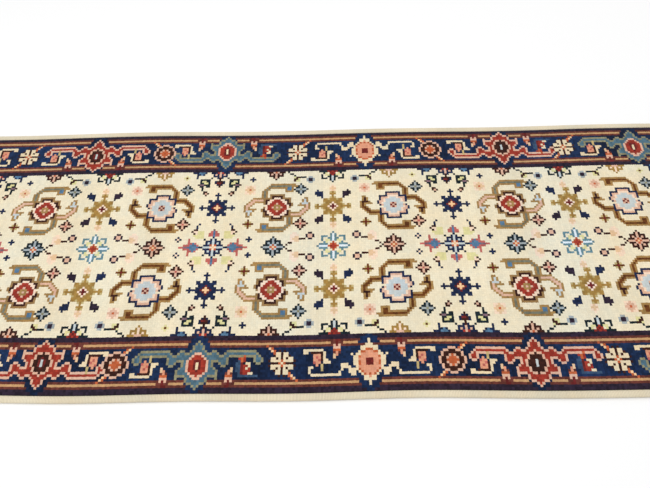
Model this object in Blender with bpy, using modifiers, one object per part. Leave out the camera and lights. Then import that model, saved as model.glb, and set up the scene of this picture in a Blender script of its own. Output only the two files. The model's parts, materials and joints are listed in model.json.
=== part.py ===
"""Runner rug: a long, narrow, hand-knotted pile rug lying flat on the floor.

Frame: +X runs along the rug, +Y across it and +Z up. The origin is the middle of the
rug's box at floor level. "near" is the -Y long edge, "far" the +Y one, "left" is the -X
end and "right" the +X one.

How it goes together: a woven cotton foundation carries the wool pile, which is knotted
in a field and three bands around it. Each long edge is three warp cords, overcast with
wool. Each end is a short flat-woven web, a twined chain and the knotted warp ends.
"""

from math import cos, pi, sin

import bmesh
import bpy

# Driving dimensions, in metres.
RUG_WIDTH = 0.762  # across both overcast edges
PILE_LENGTH = 2.438  # knotted length, between the two flat-woven webs
FOUNDATION_THICKNESS = 0.0025
PILE_HEIGHT = 0.007  # standing wool above the foundation
OUTER_GUARD_WIDTH = 0.0283
MAIN_BORDER_WIDTH = 0.0736
INNER_GUARD_WIDTH = 0.0283
PILE_EDGE_ROUNDING = 0.0008
CORDS_PER_EDGE = 3
EDGE_CORD_DIAMETER = 0.0042
OVERCAST_WALL = 0.0012  # wool wound round the edge cords
WEB_LENGTH = 0.014  # flat weave beyond the pile, along X
WEB_THICKNESS = 0.0022
CHAIN_DIAMETER = 0.0045
FRINGE_LENGTH = 0.055
FRINGE_THICKNESS = 0.003
FRINGE_HEADING = 0.006  # strip where the warp ends leave the chain
TASSEL_WIDTH = 0.007
TASSEL_SPACING = 0.012  # wanted middle-to-middle distance of the tassels
CLEARANCE = 0.0003  # kept wherever two pieces meet
CUTTER_MARGIN = 0.01  # how far a cutter runs past what it cuts

ROUND_SIDES = 16  # sides of a round cord
ARC_STEPS = 8  # steps in each half-round end of the overcast section

# Sizes that follow from the ones above.
OVERCAST_HEIGHT = EDGE_CORD_DIAMETER + 2 * (OVERCAST_WALL + CLEARANCE)
OVERCAST_WIDTH = (
    CORDS_PER_EDGE * (EDGE_CORD_DIAMETER + CLEARANCE) + CLEARANCE + 2 * OVERCAST_WALL
)
PILE_WIDTH = RUG_WIDTH - 2 * (OVERCAST_WIDTH + CLEARANCE)
BODY_LENGTH = PILE_LENGTH + 2 * (CLEARANCE + WEB_LENGTH)
PILE_BOTTOM = FOUNDATION_THICKNESS + CLEARANCE

OBJECT_NAME = "runner_rug"
WOOL_ROUGHNESS = 0.9
COTTON_ROUGHNESS = 0.85


def clear_scene():
    """Remove whatever the scene holds."""
    for item in list(bpy.data.objects):
        bpy.data.objects.remove(item, do_unlink=True)


def new_collection(name):
    """Add a collection to the scene."""
    collection = bpy.data.collections.new(name)
    bpy.context.scene.collection.children.link(collection)
    return collection


def make_material(name, colour, roughness):
    """A plain Principled material."""
    material = bpy.data.materials.new(name)
    material.use_nodes = True
    shader = material.node_tree.nodes["Principled BSDF"]
    shader.inputs["Base Color"].default_value = (*colour, 1.0)
    shader.inputs["Roughness"].default_value = roughness
    shader.inputs["Metallic"].default_value = 0.0
    return material


def add_object(name, data, collection, location=(0.0, 0.0, 0.0)):
    """Link new data into a collection as an object."""
    item = bpy.data.objects.new(name, data)
    item.location = location
    collection.objects.link(item)
    return item


def box_mesh(name, size):
    """A box centred on its own origin."""
    bm = bmesh.new()
    bmesh.ops.create_cube(bm, size=1.0)
    bmesh.ops.scale(bm, vec=size, verts=bm.verts)
    mesh = bpy.data.meshes.new(name)
    bm.to_mesh(mesh)
    bm.free()
    return mesh


def round_edges(item, width):
    """Round the sharp edges of a pile slab."""
    bevel = item.modifiers.new("rounded_edges", "BEVEL")
    bevel.width = width
    bevel.segments = 2
    bevel.limit_method = "ANGLE"


def cut_from(item, cutter, name):
    """Cut one object out of another, and keep the cutter out of the model."""
    cutter.hide_render = True
    cutter.display_type = "WIRE"
    cut = item.modifiers.new(name, "BOOLEAN")
    cut.operation = "DIFFERENCE"
    cut.solver = "EXACT"
    cut.object = cutter


def add_pile_slab(name, length, width, parts):
    """A full slab of pile on top of the foundation."""
    mesh = box_mesh(name, (length, width, PILE_HEIGHT))
    return add_object(name, mesh, parts, (0.0, 0.0, PILE_BOTTOM + PILE_HEIGHT / 2))


def add_pile_band(name, inset, band_width, parts, cutters):
    """A rectangular band of pile, inset from the pile's outline, open in the middle."""
    item = add_pile_slab(name, PILE_LENGTH - 2 * inset, PILE_WIDTH - 2 * inset, parts)
    opening = inset + band_width
    cutter_size = (
        PILE_LENGTH - 2 * opening,
        PILE_WIDTH - 2 * opening,
        PILE_HEIGHT + 2 * CUTTER_MARGIN,
    )
    cutter = add_object(f"{name}_opening", box_mesh(f"{name}_opening", cutter_size), cutters, item.location)
    cut_from(item, cutter, "opening")
    round_edges(item, PILE_EDGE_ROUNDING)
    return item


def build_pile(parts, cutters):
    """The field and the three bands around it, each clear of the next."""
    bands = (
        ("outer_guard_pile", OUTER_GUARD_WIDTH, (0.045, 0.035, 0.055)),
        ("main_border_pile", MAIN_BORDER_WIDTH, (0.020, 0.032, 0.075)),
        ("inner_guard_pile", INNER_GUARD_WIDTH, (0.060, 0.030, 0.040)),
    )
    inset = 0.0
    for name, width, colour in bands:
        item = add_pile_band(name, inset, width, parts, cutters)
        item.data.materials.append(make_material(name, colour, WOOL_ROUGHNESS))
        inset += width + CLEARANCE
    field = add_pile_slab("field_pile", PILE_LENGTH - 2 * inset, PILE_WIDTH - 2 * inset, parts)
    field.data.materials.append(make_material("field_pile", (0.80, 0.70, 0.50), WOOL_ROUGHNESS))
    round_edges(field, PILE_EDGE_ROUNDING)


def build_foundation(parts):
    """The woven cotton sheet under all of the pile."""
    mesh = box_mesh("foundation_weave", (PILE_LENGTH, PILE_WIDTH, FOUNDATION_THICKNESS))
    item = add_object("foundation_weave", mesh, parts, (0.0, 0.0, FOUNDATION_THICKNESS / 2))
    item.data.materials.append(make_material("foundation_cotton", (0.72, 0.66, 0.52), COTTON_ROUGHNESS))


def overcast_outline(half_width, radius):
    """Points of a flat section with half-round ends, in order round it, as (y, z)."""
    straight = half_width - radius
    points = []
    for side in (1, -1):
        start = -pi / 2 if side == 1 else pi / 2
        for step in range(ARC_STEPS + 1):
            angle = start + pi * step / ARC_STEPS
            points.append((side * straight + radius * cos(angle), radius * sin(angle)))
    return points


def overcast_mesh(name):
    """The overcast wool as a thick-walled tube along X, open at both ends."""
    bm = bmesh.new()
    outline = overcast_outline(OVERCAST_WIDTH / 2, OVERCAST_HEIGHT / 2)
    ring = [bm.verts.new((-BODY_LENGTH / 2, y, z)) for y, z in outline]
    edges = [bm.edges.new((ring[i - 1], ring[i])) for i in range(len(ring))]
    grown = bmesh.ops.extrude_edge_only(bm, edges=edges)
    far_end = [v for v in grown["geom"] if isinstance(v, bmesh.types.BMVert)]
    bmesh.ops.translate(bm, verts=far_end, vec=(BODY_LENGTH, 0.0, 0.0))
    bmesh.ops.recalc_face_normals(bm, faces=bm.faces)
    mesh = bpy.data.meshes.new(name)
    bm.to_mesh(mesh)
    bm.free()
    return mesh


def rod_mesh(name, diameter, length, axis):
    """A capped round rod along X or Y, centred on its own origin."""
    bm = bmesh.new()
    bmesh.ops.create_cone(
        bm, cap_ends=True, segments=ROUND_SIDES, radius1=diameter / 2, radius2=diameter / 2, depth=length
    )
    mesh = bpy.data.meshes.new(name)
    bm.to_mesh(mesh)
    bm.free()
    mesh.shade_smooth()
    mesh.set_sharp_from_angle(angle=pi / 4)
    return mesh, (0.0, pi / 2, 0.0) if axis == "X" else (pi / 2, 0.0, 0.0)


def add_rod(name, diameter, length, axis, location, parts):
    """A rod laid along X or Y."""
    mesh, rotation = rod_mesh(name, diameter, length, axis)
    item = add_object(name, mesh, parts, location)
    item.rotation_euler = rotation
    return item


def build_long_edge(side_name, side, parts):
    """Three warp cords and the wool overcast round them, on one long edge."""
    middle_y = side * (PILE_WIDTH / 2 + CLEARANCE + OVERCAST_WIDTH / 2)
    middle_z = OVERCAST_HEIGHT / 2
    overcast_name = f"edge_overcast_{side_name}"
    overcast = add_object(
        overcast_name, overcast_mesh(overcast_name), parts, (0.0, middle_y, middle_z)
    )
    wall = overcast.modifiers.new("wall", "SOLIDIFY")
    wall.thickness = OVERCAST_WALL
    wall.offset = -1.0
    wall.use_even_offset = True
    overcast.data.materials.append(
        make_material(f"edge_wool_{side_name}", (0.84, 0.76, 0.60), WOOL_ROUGHNESS)
    )
    pitch = EDGE_CORD_DIAMETER + CLEARANCE
    for number in range(CORDS_PER_EDGE):
        offset = (number - (CORDS_PER_EDGE - 1) / 2) * pitch
        name = f"edge_cord_{side_name}_{number + 1}"
        location = (0.0, middle_y + side * offset, middle_z)
        cord = add_rod(name, EDGE_CORD_DIAMETER, BODY_LENGTH, "X", location, parts)
        cord.data.materials.append(make_material(name, (0.75, 0.70, 0.58), COTTON_ROUGHNESS))


def add_fringe(name, end, inner_x, parts, cutters):
    """The tassels as teeth of a comb: a plate with an evenly spaced row of slots cut in it."""
    plate_size = (FRINGE_LENGTH, RUG_WIDTH, FRINGE_THICKNESS)
    plate_place = (inner_x + end * FRINGE_LENGTH / 2, 0.0, FRINGE_THICKNESS / 2)
    plate = add_object(name, box_mesh(name, plate_size), parts, plate_place)
    tassels = max(2, round((RUG_WIDTH - TASSEL_WIDTH) / TASSEL_SPACING) + 1)
    pitch = (RUG_WIDTH - TASSEL_WIDTH) / (tassels - 1)
    slot_length = FRINGE_LENGTH - FRINGE_HEADING + CUTTER_MARGIN
    slot_size = (slot_length, pitch - TASSEL_WIDTH, FRINGE_THICKNESS + 2 * CUTTER_MARGIN)
    slot_x = inner_x + end * (FRINGE_HEADING + slot_length / 2)
    first_slot_y = -RUG_WIDTH / 2 + TASSEL_WIDTH + (pitch - TASSEL_WIDTH) / 2
    slots_name = f"{name}_slots"
    slots_place = (slot_x, first_slot_y, FRINGE_THICKNESS / 2)
    slots = add_object(slots_name, box_mesh(slots_name, slot_size), cutters, slots_place)
    repeat = slots.modifiers.new("row_of_slots", "ARRAY")
    repeat.use_relative_offset = False
    repeat.use_constant_offset = True
    repeat.constant_offset_displace = (0.0, pitch, 0.0)
    repeat.count = tassels - 1
    cut_from(plate, slots, "slots")
    return plate


def build_end(end_name, end, parts, cutters):
    """The flat-woven web, the twined chain and the fringe at one end."""
    web_x = end * (PILE_LENGTH / 2 + CLEARANCE + WEB_LENGTH / 2)
    web_mesh = box_mesh(f"end_web_{end_name}", (WEB_LENGTH, PILE_WIDTH, WEB_THICKNESS))
    web = add_object(f"end_web_{end_name}", web_mesh, parts, (web_x, 0.0, WEB_THICKNESS / 2))
    web.data.materials.append(make_material(f"end_web_{end_name}", (0.74, 0.67, 0.52), COTTON_ROUGHNESS))

    chain_x = end * (BODY_LENGTH / 2 + CLEARANCE + CHAIN_DIAMETER / 2)
    chain = add_rod(
        f"end_chain_{end_name}", CHAIN_DIAMETER, RUG_WIDTH, "Y", (chain_x, 0.0, CHAIN_DIAMETER / 2), parts
    )
    chain.data.materials.append(make_material(f"end_chain_{end_name}", (0.70, 0.62, 0.46), WOOL_ROUGHNESS))

    fringe_x = end * (BODY_LENGTH / 2 + 2 * CLEARANCE + CHAIN_DIAMETER)
    fringe = add_fringe(f"fringe_{end_name}", end, fringe_x, parts, cutters)
    fringe.data.materials.append(make_material(f"fringe_{end_name}", (0.78, 0.72, 0.58), COTTON_ROUGHNESS))


def main():
    """Build every piece of the rug."""
    clear_scene()
    parts = new_collection(OBJECT_NAME)
    cutters = new_collection(f"{OBJECT_NAME}_cutters")
    build_foundation(parts)
    build_pile(parts, cutters)
    for side_name, side in (("near", -1), ("far", 1)):
        build_long_edge(side_name, side, parts)
    for end_name, end in (("left", -1), ("right", 1)):
        build_end(end_name, end, parts, cutters)

    origin = add_object(f"{OBJECT_NAME}_origin", None, parts)
    for item in list(parts.objects):
        if item is not origin:
            item.parent = origin


main()
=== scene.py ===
"""Looks of the runner rug: a knotted wool pile runner on a pale studio floor.

The pile is drawn knot by knot on a cartoon, as a weaver would, and each knot becomes a
small raised tuft in its own dye. The long edges are wound with ribbed wool, and each end
has a flat-woven web, a twined chain and a knotted fringe.

Places and sizes come from the frame. Positions are in metres, knots are counted from the
middle of the rug: x along it, y across it towards the far edge.
"""

import json
import logging
from dataclasses import dataclass, field
from enum import Enum, IntEnum
from math import cos, pi, radians, sin

import bpy
import numpy as np
from mathutils import Matrix, Vector

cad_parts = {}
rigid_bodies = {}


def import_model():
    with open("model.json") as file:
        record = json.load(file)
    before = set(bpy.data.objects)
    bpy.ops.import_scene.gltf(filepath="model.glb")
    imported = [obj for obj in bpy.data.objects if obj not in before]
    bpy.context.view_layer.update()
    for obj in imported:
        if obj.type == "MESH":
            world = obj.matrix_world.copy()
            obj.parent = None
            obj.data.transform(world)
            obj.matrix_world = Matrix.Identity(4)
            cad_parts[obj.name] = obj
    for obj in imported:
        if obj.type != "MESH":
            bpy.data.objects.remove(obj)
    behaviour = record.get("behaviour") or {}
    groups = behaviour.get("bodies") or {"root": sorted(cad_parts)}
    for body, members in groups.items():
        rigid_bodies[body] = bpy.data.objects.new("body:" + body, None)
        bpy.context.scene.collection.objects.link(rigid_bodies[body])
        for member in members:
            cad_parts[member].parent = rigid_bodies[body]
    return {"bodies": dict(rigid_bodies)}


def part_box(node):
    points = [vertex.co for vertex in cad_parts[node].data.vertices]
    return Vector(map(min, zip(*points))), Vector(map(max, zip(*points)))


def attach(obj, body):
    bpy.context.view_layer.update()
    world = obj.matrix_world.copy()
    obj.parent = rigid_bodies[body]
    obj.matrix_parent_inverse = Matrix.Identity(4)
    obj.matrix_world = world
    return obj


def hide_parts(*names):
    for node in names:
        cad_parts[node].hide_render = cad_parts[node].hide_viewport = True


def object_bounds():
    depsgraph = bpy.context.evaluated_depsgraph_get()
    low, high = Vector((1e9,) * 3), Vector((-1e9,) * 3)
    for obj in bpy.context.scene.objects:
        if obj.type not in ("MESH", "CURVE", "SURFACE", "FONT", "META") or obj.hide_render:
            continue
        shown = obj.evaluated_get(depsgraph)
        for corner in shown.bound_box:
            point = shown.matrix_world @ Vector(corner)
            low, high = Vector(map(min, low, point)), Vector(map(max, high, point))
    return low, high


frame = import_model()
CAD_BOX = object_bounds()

log = logging.getLogger("runner_rug")

Point = tuple[float, float]
BODY = "root"
BAND_GAP = 0.0003  # metres between two bands of pile


# --- dyes


class Dye(IntEnum):
    """Every yarn colour in the pile, by its screen red, green and blue from 0 to 255.

    A dye's number is its row in the dye table. BARE marks a knot that a patch leaves alone.
    """

    colour: tuple[int, int, int]

    def __new__(cls, *colour: int) -> "Dye":
        """Number the dyes in the order they are listed, from -1, and keep their colours.

        Args:
            *colour: Red, green and blue.

        Returns:
            The dye.
        """
        number = len(cls.__members__) - 1
        dye = int.__new__(cls, number)
        dye._value_ = number
        dye.colour = colour
        return dye

    BARE = 0, 0, 0
    IVORY = 231, 220, 192
    NAVY = 26, 38, 68
    BORDER_BLUE = 22, 40, 78
    PLUM = 42, 31, 46
    RUSSET = 98, 50, 42
    GUARD_PEACH = 190, 148, 104
    MAROON = 104, 34, 32
    BRICK = 150, 51, 38
    RUST = 184, 92, 54
    SALMON = 216, 150, 120
    PINK = 216, 174, 150
    BLUSH = 238, 212, 188
    PEACH = 238, 194, 148
    GOLD = 156, 122, 62
    TAN = 158, 124, 74
    BROWN = 100, 56, 22
    UMBER = 56, 27, 20
    SKY = 192, 200, 200
    BLUE = 82, 116, 146
    TEAL = 96, 130, 140
    DEEP_TEAL = 22, 36, 42
    SLATE = 116, 116, 100
    LEAF = 216, 209, 152
    CREAM = 226, 207, 172
    WHITE = 222, 230, 234
    MAUVE = 122, 96, 106
    SAGE = 138, 134, 106
    KHAKI = 188, 168, 116
    MIST = 158, 166, 168
    BARK = 146, 114, 72
    APRICOT = 222, 188, 150
    ROSE = 182, 98, 90
    SLATE_BLUE = 54, 76, 102
    LAGOON = 76, 106, 122


def linear(colour: np.ndarray) -> np.ndarray:
    """Turn screen colours from 0 to 1 into linear ones.

    Args:
        colour: Screen values, any shape.

    Returns:
        The linear values: the usual 2.4 power above the toe and a straight line below it.
    """
    toe = colour / 12.92
    curve = ((colour + 0.055) / 1.055) ** 2.4
    return np.where(colour <= 0.04045, toe, curve)


def dye_table() -> np.ndarray:
    """Linear colour of each dye, one row per dye in the order of its number."""
    rows = [dye.colour for dye in Dye if dye is not Dye.BARE]
    return linear(np.array(rows) / 255.0)


# --- drawing


class Fold(Enum):
    """How a patch repeats what is drawn in one part of it."""

    NONE = "drawn whole"
    SIDES = "left repeats right"
    LEVELS = "lower half repeats upper"
    QUARTERS = "all four quarters alike"
    EIGHTHS = "quarters alike, and each the same along and across"


class Column(Enum):
    """What stands in a column of the field; the four kinds follow each other along the rug."""

    GOLD_STAR = 0
    BLUE_MEDALLION = 1
    NAVY_STAR = 2
    RED_MEDALLION = 3


class Side(Enum):
    """The rug's sides, by the words that the nodes' names use."""

    NEAR = "near"
    FAR = "far"
    LEFT = "left"
    RIGHT = "right"


class Patch:
    """A window of knots round a motif's middle, drawn with shapes."""

    def __init__(self, reach_x: int, reach_y: int, fold: Fold = Fold.NONE) -> None:
        """Start with every knot bare.

        Args:
            reach_x: Knots to each side of the middle.
            reach_y: Knots above and below the middle.
            fold: The symmetry that drawing follows.
        """
        x, y = np.meshgrid(np.arange(-reach_x, reach_x + 1), np.arange(-reach_y, reach_y + 1))
        if fold in (Fold.SIDES, Fold.QUARTERS, Fold.EIGHTHS):
            x = np.abs(x)
        if fold in (Fold.LEVELS, Fold.QUARTERS, Fold.EIGHTHS):
            y = np.abs(y)
        if fold is Fold.EIGHTHS:
            x, y = np.maximum(x, y), np.minimum(x, y)
        self.x = x
        self.y = y
        self.dyes = np.full(x.shape, Dye.BARE)

    def where(self, mask: np.ndarray, dye: Dye) -> "Patch":
        """Knot the masked place in one dye and give the patch back, as every drawing method does."""
        self.dyes[mask] = dye
        return self

    def dots(self, dye: Dye, *places: tuple[int, int]) -> "Patch":
        """Single knots at the places given."""
        return self.box(dye, *[(x, x, y, y) for x, y in places])

    def box(self, dye: Dye, *limits: tuple[float, float, float, float]) -> "Patch":
        """Filled rectangles.

        Args:
            dye: Their colour.
            *limits: First and last column, and first and last row, of each.

        Returns:
            The patch.
        """
        for x0, x1, y0, y1 in limits:
            self.where((self.x >= x0) & (self.x <= x1) & (self.y >= y0) & (self.y <= y1), dye)
        return self

    def diamond(self, dye: Dye, radius: float, x: float = 0, y: float = 0) -> "Patch":
        """Knots whose steps along and across from a place add up to at most the radius."""
        return self.where(np.abs(self.x - x) + np.abs(self.y - y) <= radius, dye)

    def disc(self, dye: Dye, radius: float, x: float = 0, y: float = 0, tall: float = 1.0) -> "Patch":
        """A filled ellipse, `tall` times as high as it is wide."""
        return self.where(((self.x - x) ** 2 + ((self.y - y) / tall) ** 2) <= radius**2, dye)

    def stroke(self, dye: Dye, half_width: float, *points: Point) -> "Patch":
        """A line through the points.

        Args:
            dye: Its colour.
            half_width: Knots within this distance of the line belong to it.
            *points: Its corners in order.

        Returns:
            The patch.
        """
        for (x0, y0), (x1, y1) in zip(points[:-1], points[1:]):
            run_x, run_y = x1 - x0, y1 - y0
            length = max(run_x**2 + run_y**2, 1e-9)
            share = np.clip(((self.x - x0) * run_x + (self.y - y0) * run_y) / length, 0.0, 1.0)
            off = np.hypot(self.x - x0 - share * run_x, self.y - y0 - share * run_y)
            self.where(off <= half_width, dye)
        return self

    def shape(self, dye: Dye, *points: Point) -> "Patch":
        """A filled outline, by counting its crossings to the right of each knot.

        Args:
            dye: Its colour.
            *points: Its corners in order.

        Returns:
            The patch.
        """
        inside = np.zeros(self.x.shape, bool)
        for (x0, y0), (x1, y1) in zip(points, points[1:] + points[:1]):
            spans = (y0 > self.y) != (y1 > self.y)
            rise = y1 - y0 if y1 != y0 else 1e-9
            inside ^= spans & (self.x < x0 + (x1 - x0) * (self.y - y0) / rise)
        return self.where(inside, dye)

    def spindle(self, dye: Dye, *steps: Point) -> "Patch":
        """A filled shape, alike left and right, from its half width at some of its rows.

        Args:
            dye: Its colour.
            *steps: Row and half width, from the lowest row up; between them it is straight.

        Returns:
            The patch.
        """
        rows, halves = zip(*steps)
        half = np.interp(self.y, rows, halves, left=-1.0, right=-1.0)
        return self.where(np.abs(self.x) <= half + 0.01, dye)

    def rim(self, dye: Dye, line: Dye) -> "Patch":
        """Outline a dye: every bare knot beside one of its knots takes the line's dye.

        Args:
            dye: The dye outlined.
            line: The outline's.

        Returns:
            The patch.
        """
        inside = np.pad(self.dyes == dye, 1)
        beside = inside[:-2, 1:-1] | inside[2:, 1:-1] | inside[1:-1, :-2] | inside[1:-1, 2:]
        return self.where(beside & (self.dyes == Dye.BARE), line)

    def turned(self) -> "Patch":
        """A copy turned half round."""
        return self.copy(self.dyes[::-1, ::-1])

    def mirrored(self) -> "Patch":
        """A copy with left and right exchanged."""
        return self.copy(self.dyes[:, ::-1])

    def copy(self, dyes: np.ndarray) -> "Patch":
        """A patch of the same size, drawn whole.

        Args:
            dyes: Its knots.

        Returns:
            The new patch.
        """
        other = Patch(self.dyes.shape[1] // 2, self.dyes.shape[0] // 2)
        other.dyes = dyes.copy()
        return other

    def add(self, other: "Patch") -> "Patch":
        """Lay another patch over the middle of this one.

        Args:
            other: A patch no larger than this one.

        Returns:
            This patch.
        """
        rows, columns = other.dyes.shape
        top, left = (self.dyes.shape[0] - rows) // 2, (self.dyes.shape[1] - columns) // 2
        under = self.dyes[top : top + rows, left : left + columns]
        under[...] = np.where(other.dyes == Dye.BARE, under, other.dyes)
        return self


def stepped_outline(scale: float, lean: int) -> list[Point]:
    """Outline of a medallion: flat above and below, stepped shoulders, a notch on each side.

    Args:
        scale: 1 for the outermost line, less for the rings inside it.
        lean: 1 or -1, which way the side notches lean.

    Returns:
        The corners, which are the same again when turned half round.
    """
    half = [(3.4, 7.4), (3.4, 5.4), (6.4, 5.4), (6.4, 2.6), (7.4, 2.4), (7.4, 0.4), (4.8, -1.0)]
    half += [(6.4, -2.0), (6.4, -5.4), (3.4, -5.4), (3.4, -7.4)]
    points = half + [(-x, -y) for x, y in half]
    return [(lean * x * scale, y * scale) for x, y in points]


@dataclass(frozen=True)
class StarDyes:
    """Dyes of a small eight-armed star; its edge may be left bare."""

    body: Dye
    edge: Dye
    ring: Dye
    heart: Dye


@dataclass(frozen=True)
class FlowerDyes:
    """Dyes of a looped or petalled flower, and how far a petalled one's heart reaches."""

    line: Dye
    light: Dye
    heart: Dye
    accent: Dye
    inner: Dye = Dye.PINK
    heart_reach: int = 2


@dataclass(frozen=True)
class MedallionDyes:
    """Dyes of a large medallion from its edge to its middle, and of its arms."""

    rings: tuple[tuple[float, Dye], ...]
    arc_core: Dye
    arc_edge: Dye
    arc_heart: Dye
    side_core: Dye
    side_edge: Dye
    side_heart: Dye


@dataclass(frozen=True)
class PalmetteDyes:
    """Dyes of a border palmette and the two buds beside it."""

    fill: Dye
    line: Dye
    heart_line: Dye
    heart: Dye
    middle: Dye
    bar: Dye
    heart_size: float
    blue_bud: bool
    slender: bool = False


# --- motifs


def star(dyes: StarDyes) -> Patch:
    """A star: a notched square, an arm to each side with a small cross on its end.

    Args:
        dyes: Its dyes.

    Returns:
        The patch.
    """
    patch = Patch(9, 9, Fold.EIGHTHS).dots(dyes.edge, (5, 1), (8, 1)).box(dyes.body, (0, 4, 0, 4))
    patch.dots(dyes.edge, (4, 2)).box(dyes.body, (5, 8, 0, 0)).dots(dyes.body, (7, 1))
    return patch.diamond(dyes.ring, 2).diamond(dyes.heart, 1)


def star_leaves(rising: Dye, falling: Dye) -> Patch:
    """Four teardrop leaves on the diagonals, one dye for each diagonal.

    Args:
        rising: Dye of the leaves that point up to the right, and down to the left.
        falling: Dye of the other two.

    Returns:
        The patch.
    """
    leaf = Patch(10, 12).box(rising, (5, 7, 6, 8)).dots(rising, (8, 7), (8, 8), (7, 9), (5, 5))
    leaf.add(leaf.turned())
    other = leaf.mirrored()
    return leaf.add(other.where(other.dyes == rising, falling))


def star_buds() -> Patch:
    """A soft peach bud beyond the upper and lower arm."""
    patch = Patch(4, 13, Fold.QUARTERS).disc(Dye.BLUSH, 1.9, 0, 10, 1.2)
    return patch.disc(Dye.APRICOT, 1.0, 0, 10, 1.3)


def arms(dyes: MedallionDyes) -> Patch:
    """The hooked arms of a medallion: an arc and a side arm, and both turned half round.

    Args:
        dyes: The medallion's dyes.

    Returns:
        The patch.
    """
    patch = Patch(16, 15)
    arc, side = ((-6, 4), (-6, 9), (-3, 12), (6, 12)), ((-6, 4), (-10.5, 4), (-14, 0.5), (-14, -2))
    patch.stroke(dyes.arc_edge, 1.4, *arc)
    patch.shape(dyes.arc_edge, (3, 13.5), (7, 13.5), (9.5, 12.4), (7.4, 10.6), (7.4, 8.4), (4, 8.4))
    patch.stroke(dyes.side_edge, 1.4, *side)
    head = (
        (-15.6, 1), (-12.6, 1), (-12.4, -0.6), (-9, -1), (-11.6, -3.4), (-12.4, -5.6),
        (-14.6, -5.6)
    )
    patch.shape(dyes.side_edge, *head).stroke(dyes.arc_core, 0.5, *arc)
    patch.box(dyes.arc_heart, (5, 6, 10, 11)).stroke(dyes.side_core, 0.5, *side)
    return patch.box(dyes.side_heart, (-14, -12, -2, -2), (-13, -13, -4, -3)).add(patch.turned())


def medallion(dyes: MedallionDyes, lean: int) -> Patch:
    """A large medallion: rings of one stepped outline inside each other, on its arms.

    Args:
        dyes: Its dyes.
        lean: 1 or -1, which way round its arms turn.

    Returns:
        The patch.
    """
    patch = arms(dyes)
    if lean < 0:
        patch = patch.mirrored()
    for scale, dye in dyes.rings:
        patch.shape(dye, *stepped_outline(scale, lean))
    return patch


def blue_heart() -> Patch:
    """The pale round heart of the blue medallion with a small red diamond."""
    patch = Patch(4, 4, Fold.EIGHTHS).disc(Dye.SKY, 4.3).dots(Dye.MAROON, (1, 0))
    return patch.dots(Dye.PINK, (0, 0), (1, 1))


def red_heart() -> Patch:
    """The brick heart of the red medallion, scalloped with blush, round a tan diamond.

    Returns:
        The patch.
    """
    patch = Patch(6, 6, Fold.EIGHTHS).disc(Dye.BRICK, 4.6)
    patch.dots(Dye.BLUSH, (5, 0), (5, 1), (4, 2), (4, 3), (3, 3)).dots(Dye.PINK, (0, 0), (2, 0))
    return patch.dots(Dye.TAN, (1, 0), (1, 1))


def small_diamond(dyes: FlowerDyes) -> Patch:
    """A stepped diamond flower seven knots across, with a pale cross in it."""
    patch = Patch(3, 3, Fold.EIGHTHS).dots(dyes.line, (3, 0), (2, 1), (1, 1))
    return patch.dots(dyes.light, (1, 0), (2, 0)).dots(dyes.heart, (0, 0))


def small_plus() -> Patch:
    """A brown cross five knots across with a pale green bloom round it."""
    patch = Patch(3, 3, Fold.EIGHTHS).dots(Dye.KHAKI, (1, 1)).dots(Dye.BROWN, (1, 0), (2, 0))
    return patch.dots(Dye.MAROON, (0, 0))


def blossom(dye: Dye, rim: Dye) -> Patch:
    """A soft round blossom with a dark eye."""
    return Patch(4, 4, Fold.EIGHTHS).disc(rim, 2.9).disc(dye, 2.1).dots(Dye.RUST, (0, 0))


def looped_flower(dyes: FlowerDyes) -> Patch:
    """A flower of four square loops round a cross, eleven knots across.

    Args:
        dyes: Its dyes.

    Returns:
        The patch.
    """
    patch = Patch(5, 5, Fold.EIGHTHS).box(dyes.line, (1, 3, 1, 3)).dots(dyes.line, (4, 1), (5, 0))
    patch.dots(dyes.light, (2, 0), (3, 0), (4, 0), (2, 2)).dots(dyes.accent, (1, 1))
    return patch.dots(dyes.inner, (1, 0)).dots(dyes.heart, (0, 0))


def petal_flower(dyes: FlowerDyes) -> Patch:
    """A large open flower: a double petal to each side and a bracket on each diagonal.

    Args:
        dyes: Its dyes.

    Returns:
        The patch.
    """
    patch = Patch(7, 7, Fold.EIGHTHS).dots(Dye.LEAF, (3, 2), (3, 3)).box(dyes.line, (3, 6, 1, 1))
    patch.box(dyes.light, (3, 6, 0, 0)).dots(dyes.line, (7, 0), (4, 2)).box(dyes.line, (5, 5, 3, 5))
    patch.diamond(dyes.heart, dyes.heart_reach).dots(dyes.accent, (2, 0), (1, 1))
    return patch.dots(dyes.heart, (0, 0))


def lotus_bud(outline: Dye, inside: Dye, spikes: Dye) -> Patch:
    """A bud that points along +x from a dot at its foot, with two spikes beside its neck.

    Args:
        outline: Dye of its tip.
        inside: Dye of its middle.
        spikes: Dye of its edge and spikes.

    Returns:
        The patch.
    """
    patch = Patch(15, 4, Fold.LEVELS).disc(spikes, 2.9, 9.2, 0).disc(inside, 2.0, 9, 0)
    patch.box(outline, (12, 13, 0, 0)).box(spikes, (12, 13, 1, 1))
    return patch.dots(spikes, (11, 3), (11, 4), (14, 0), (15, 0)).dots(Dye.NAVY, (5, 0), (6, 0))


def top_bud(outline: Dye, inside: Dye, spikes: Dye) -> Patch:
    """A short bud above and below a flower."""
    patch = Patch(3, 10, Fold.QUARTERS).box(outline, (0, 1, 6, 8)).box(spikes, (1, 2, 6, 7))
    return patch.dots(spikes, (1, 8)).box(inside, (0, 0, 6, 8)).dots(outline, (0, 9))


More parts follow.
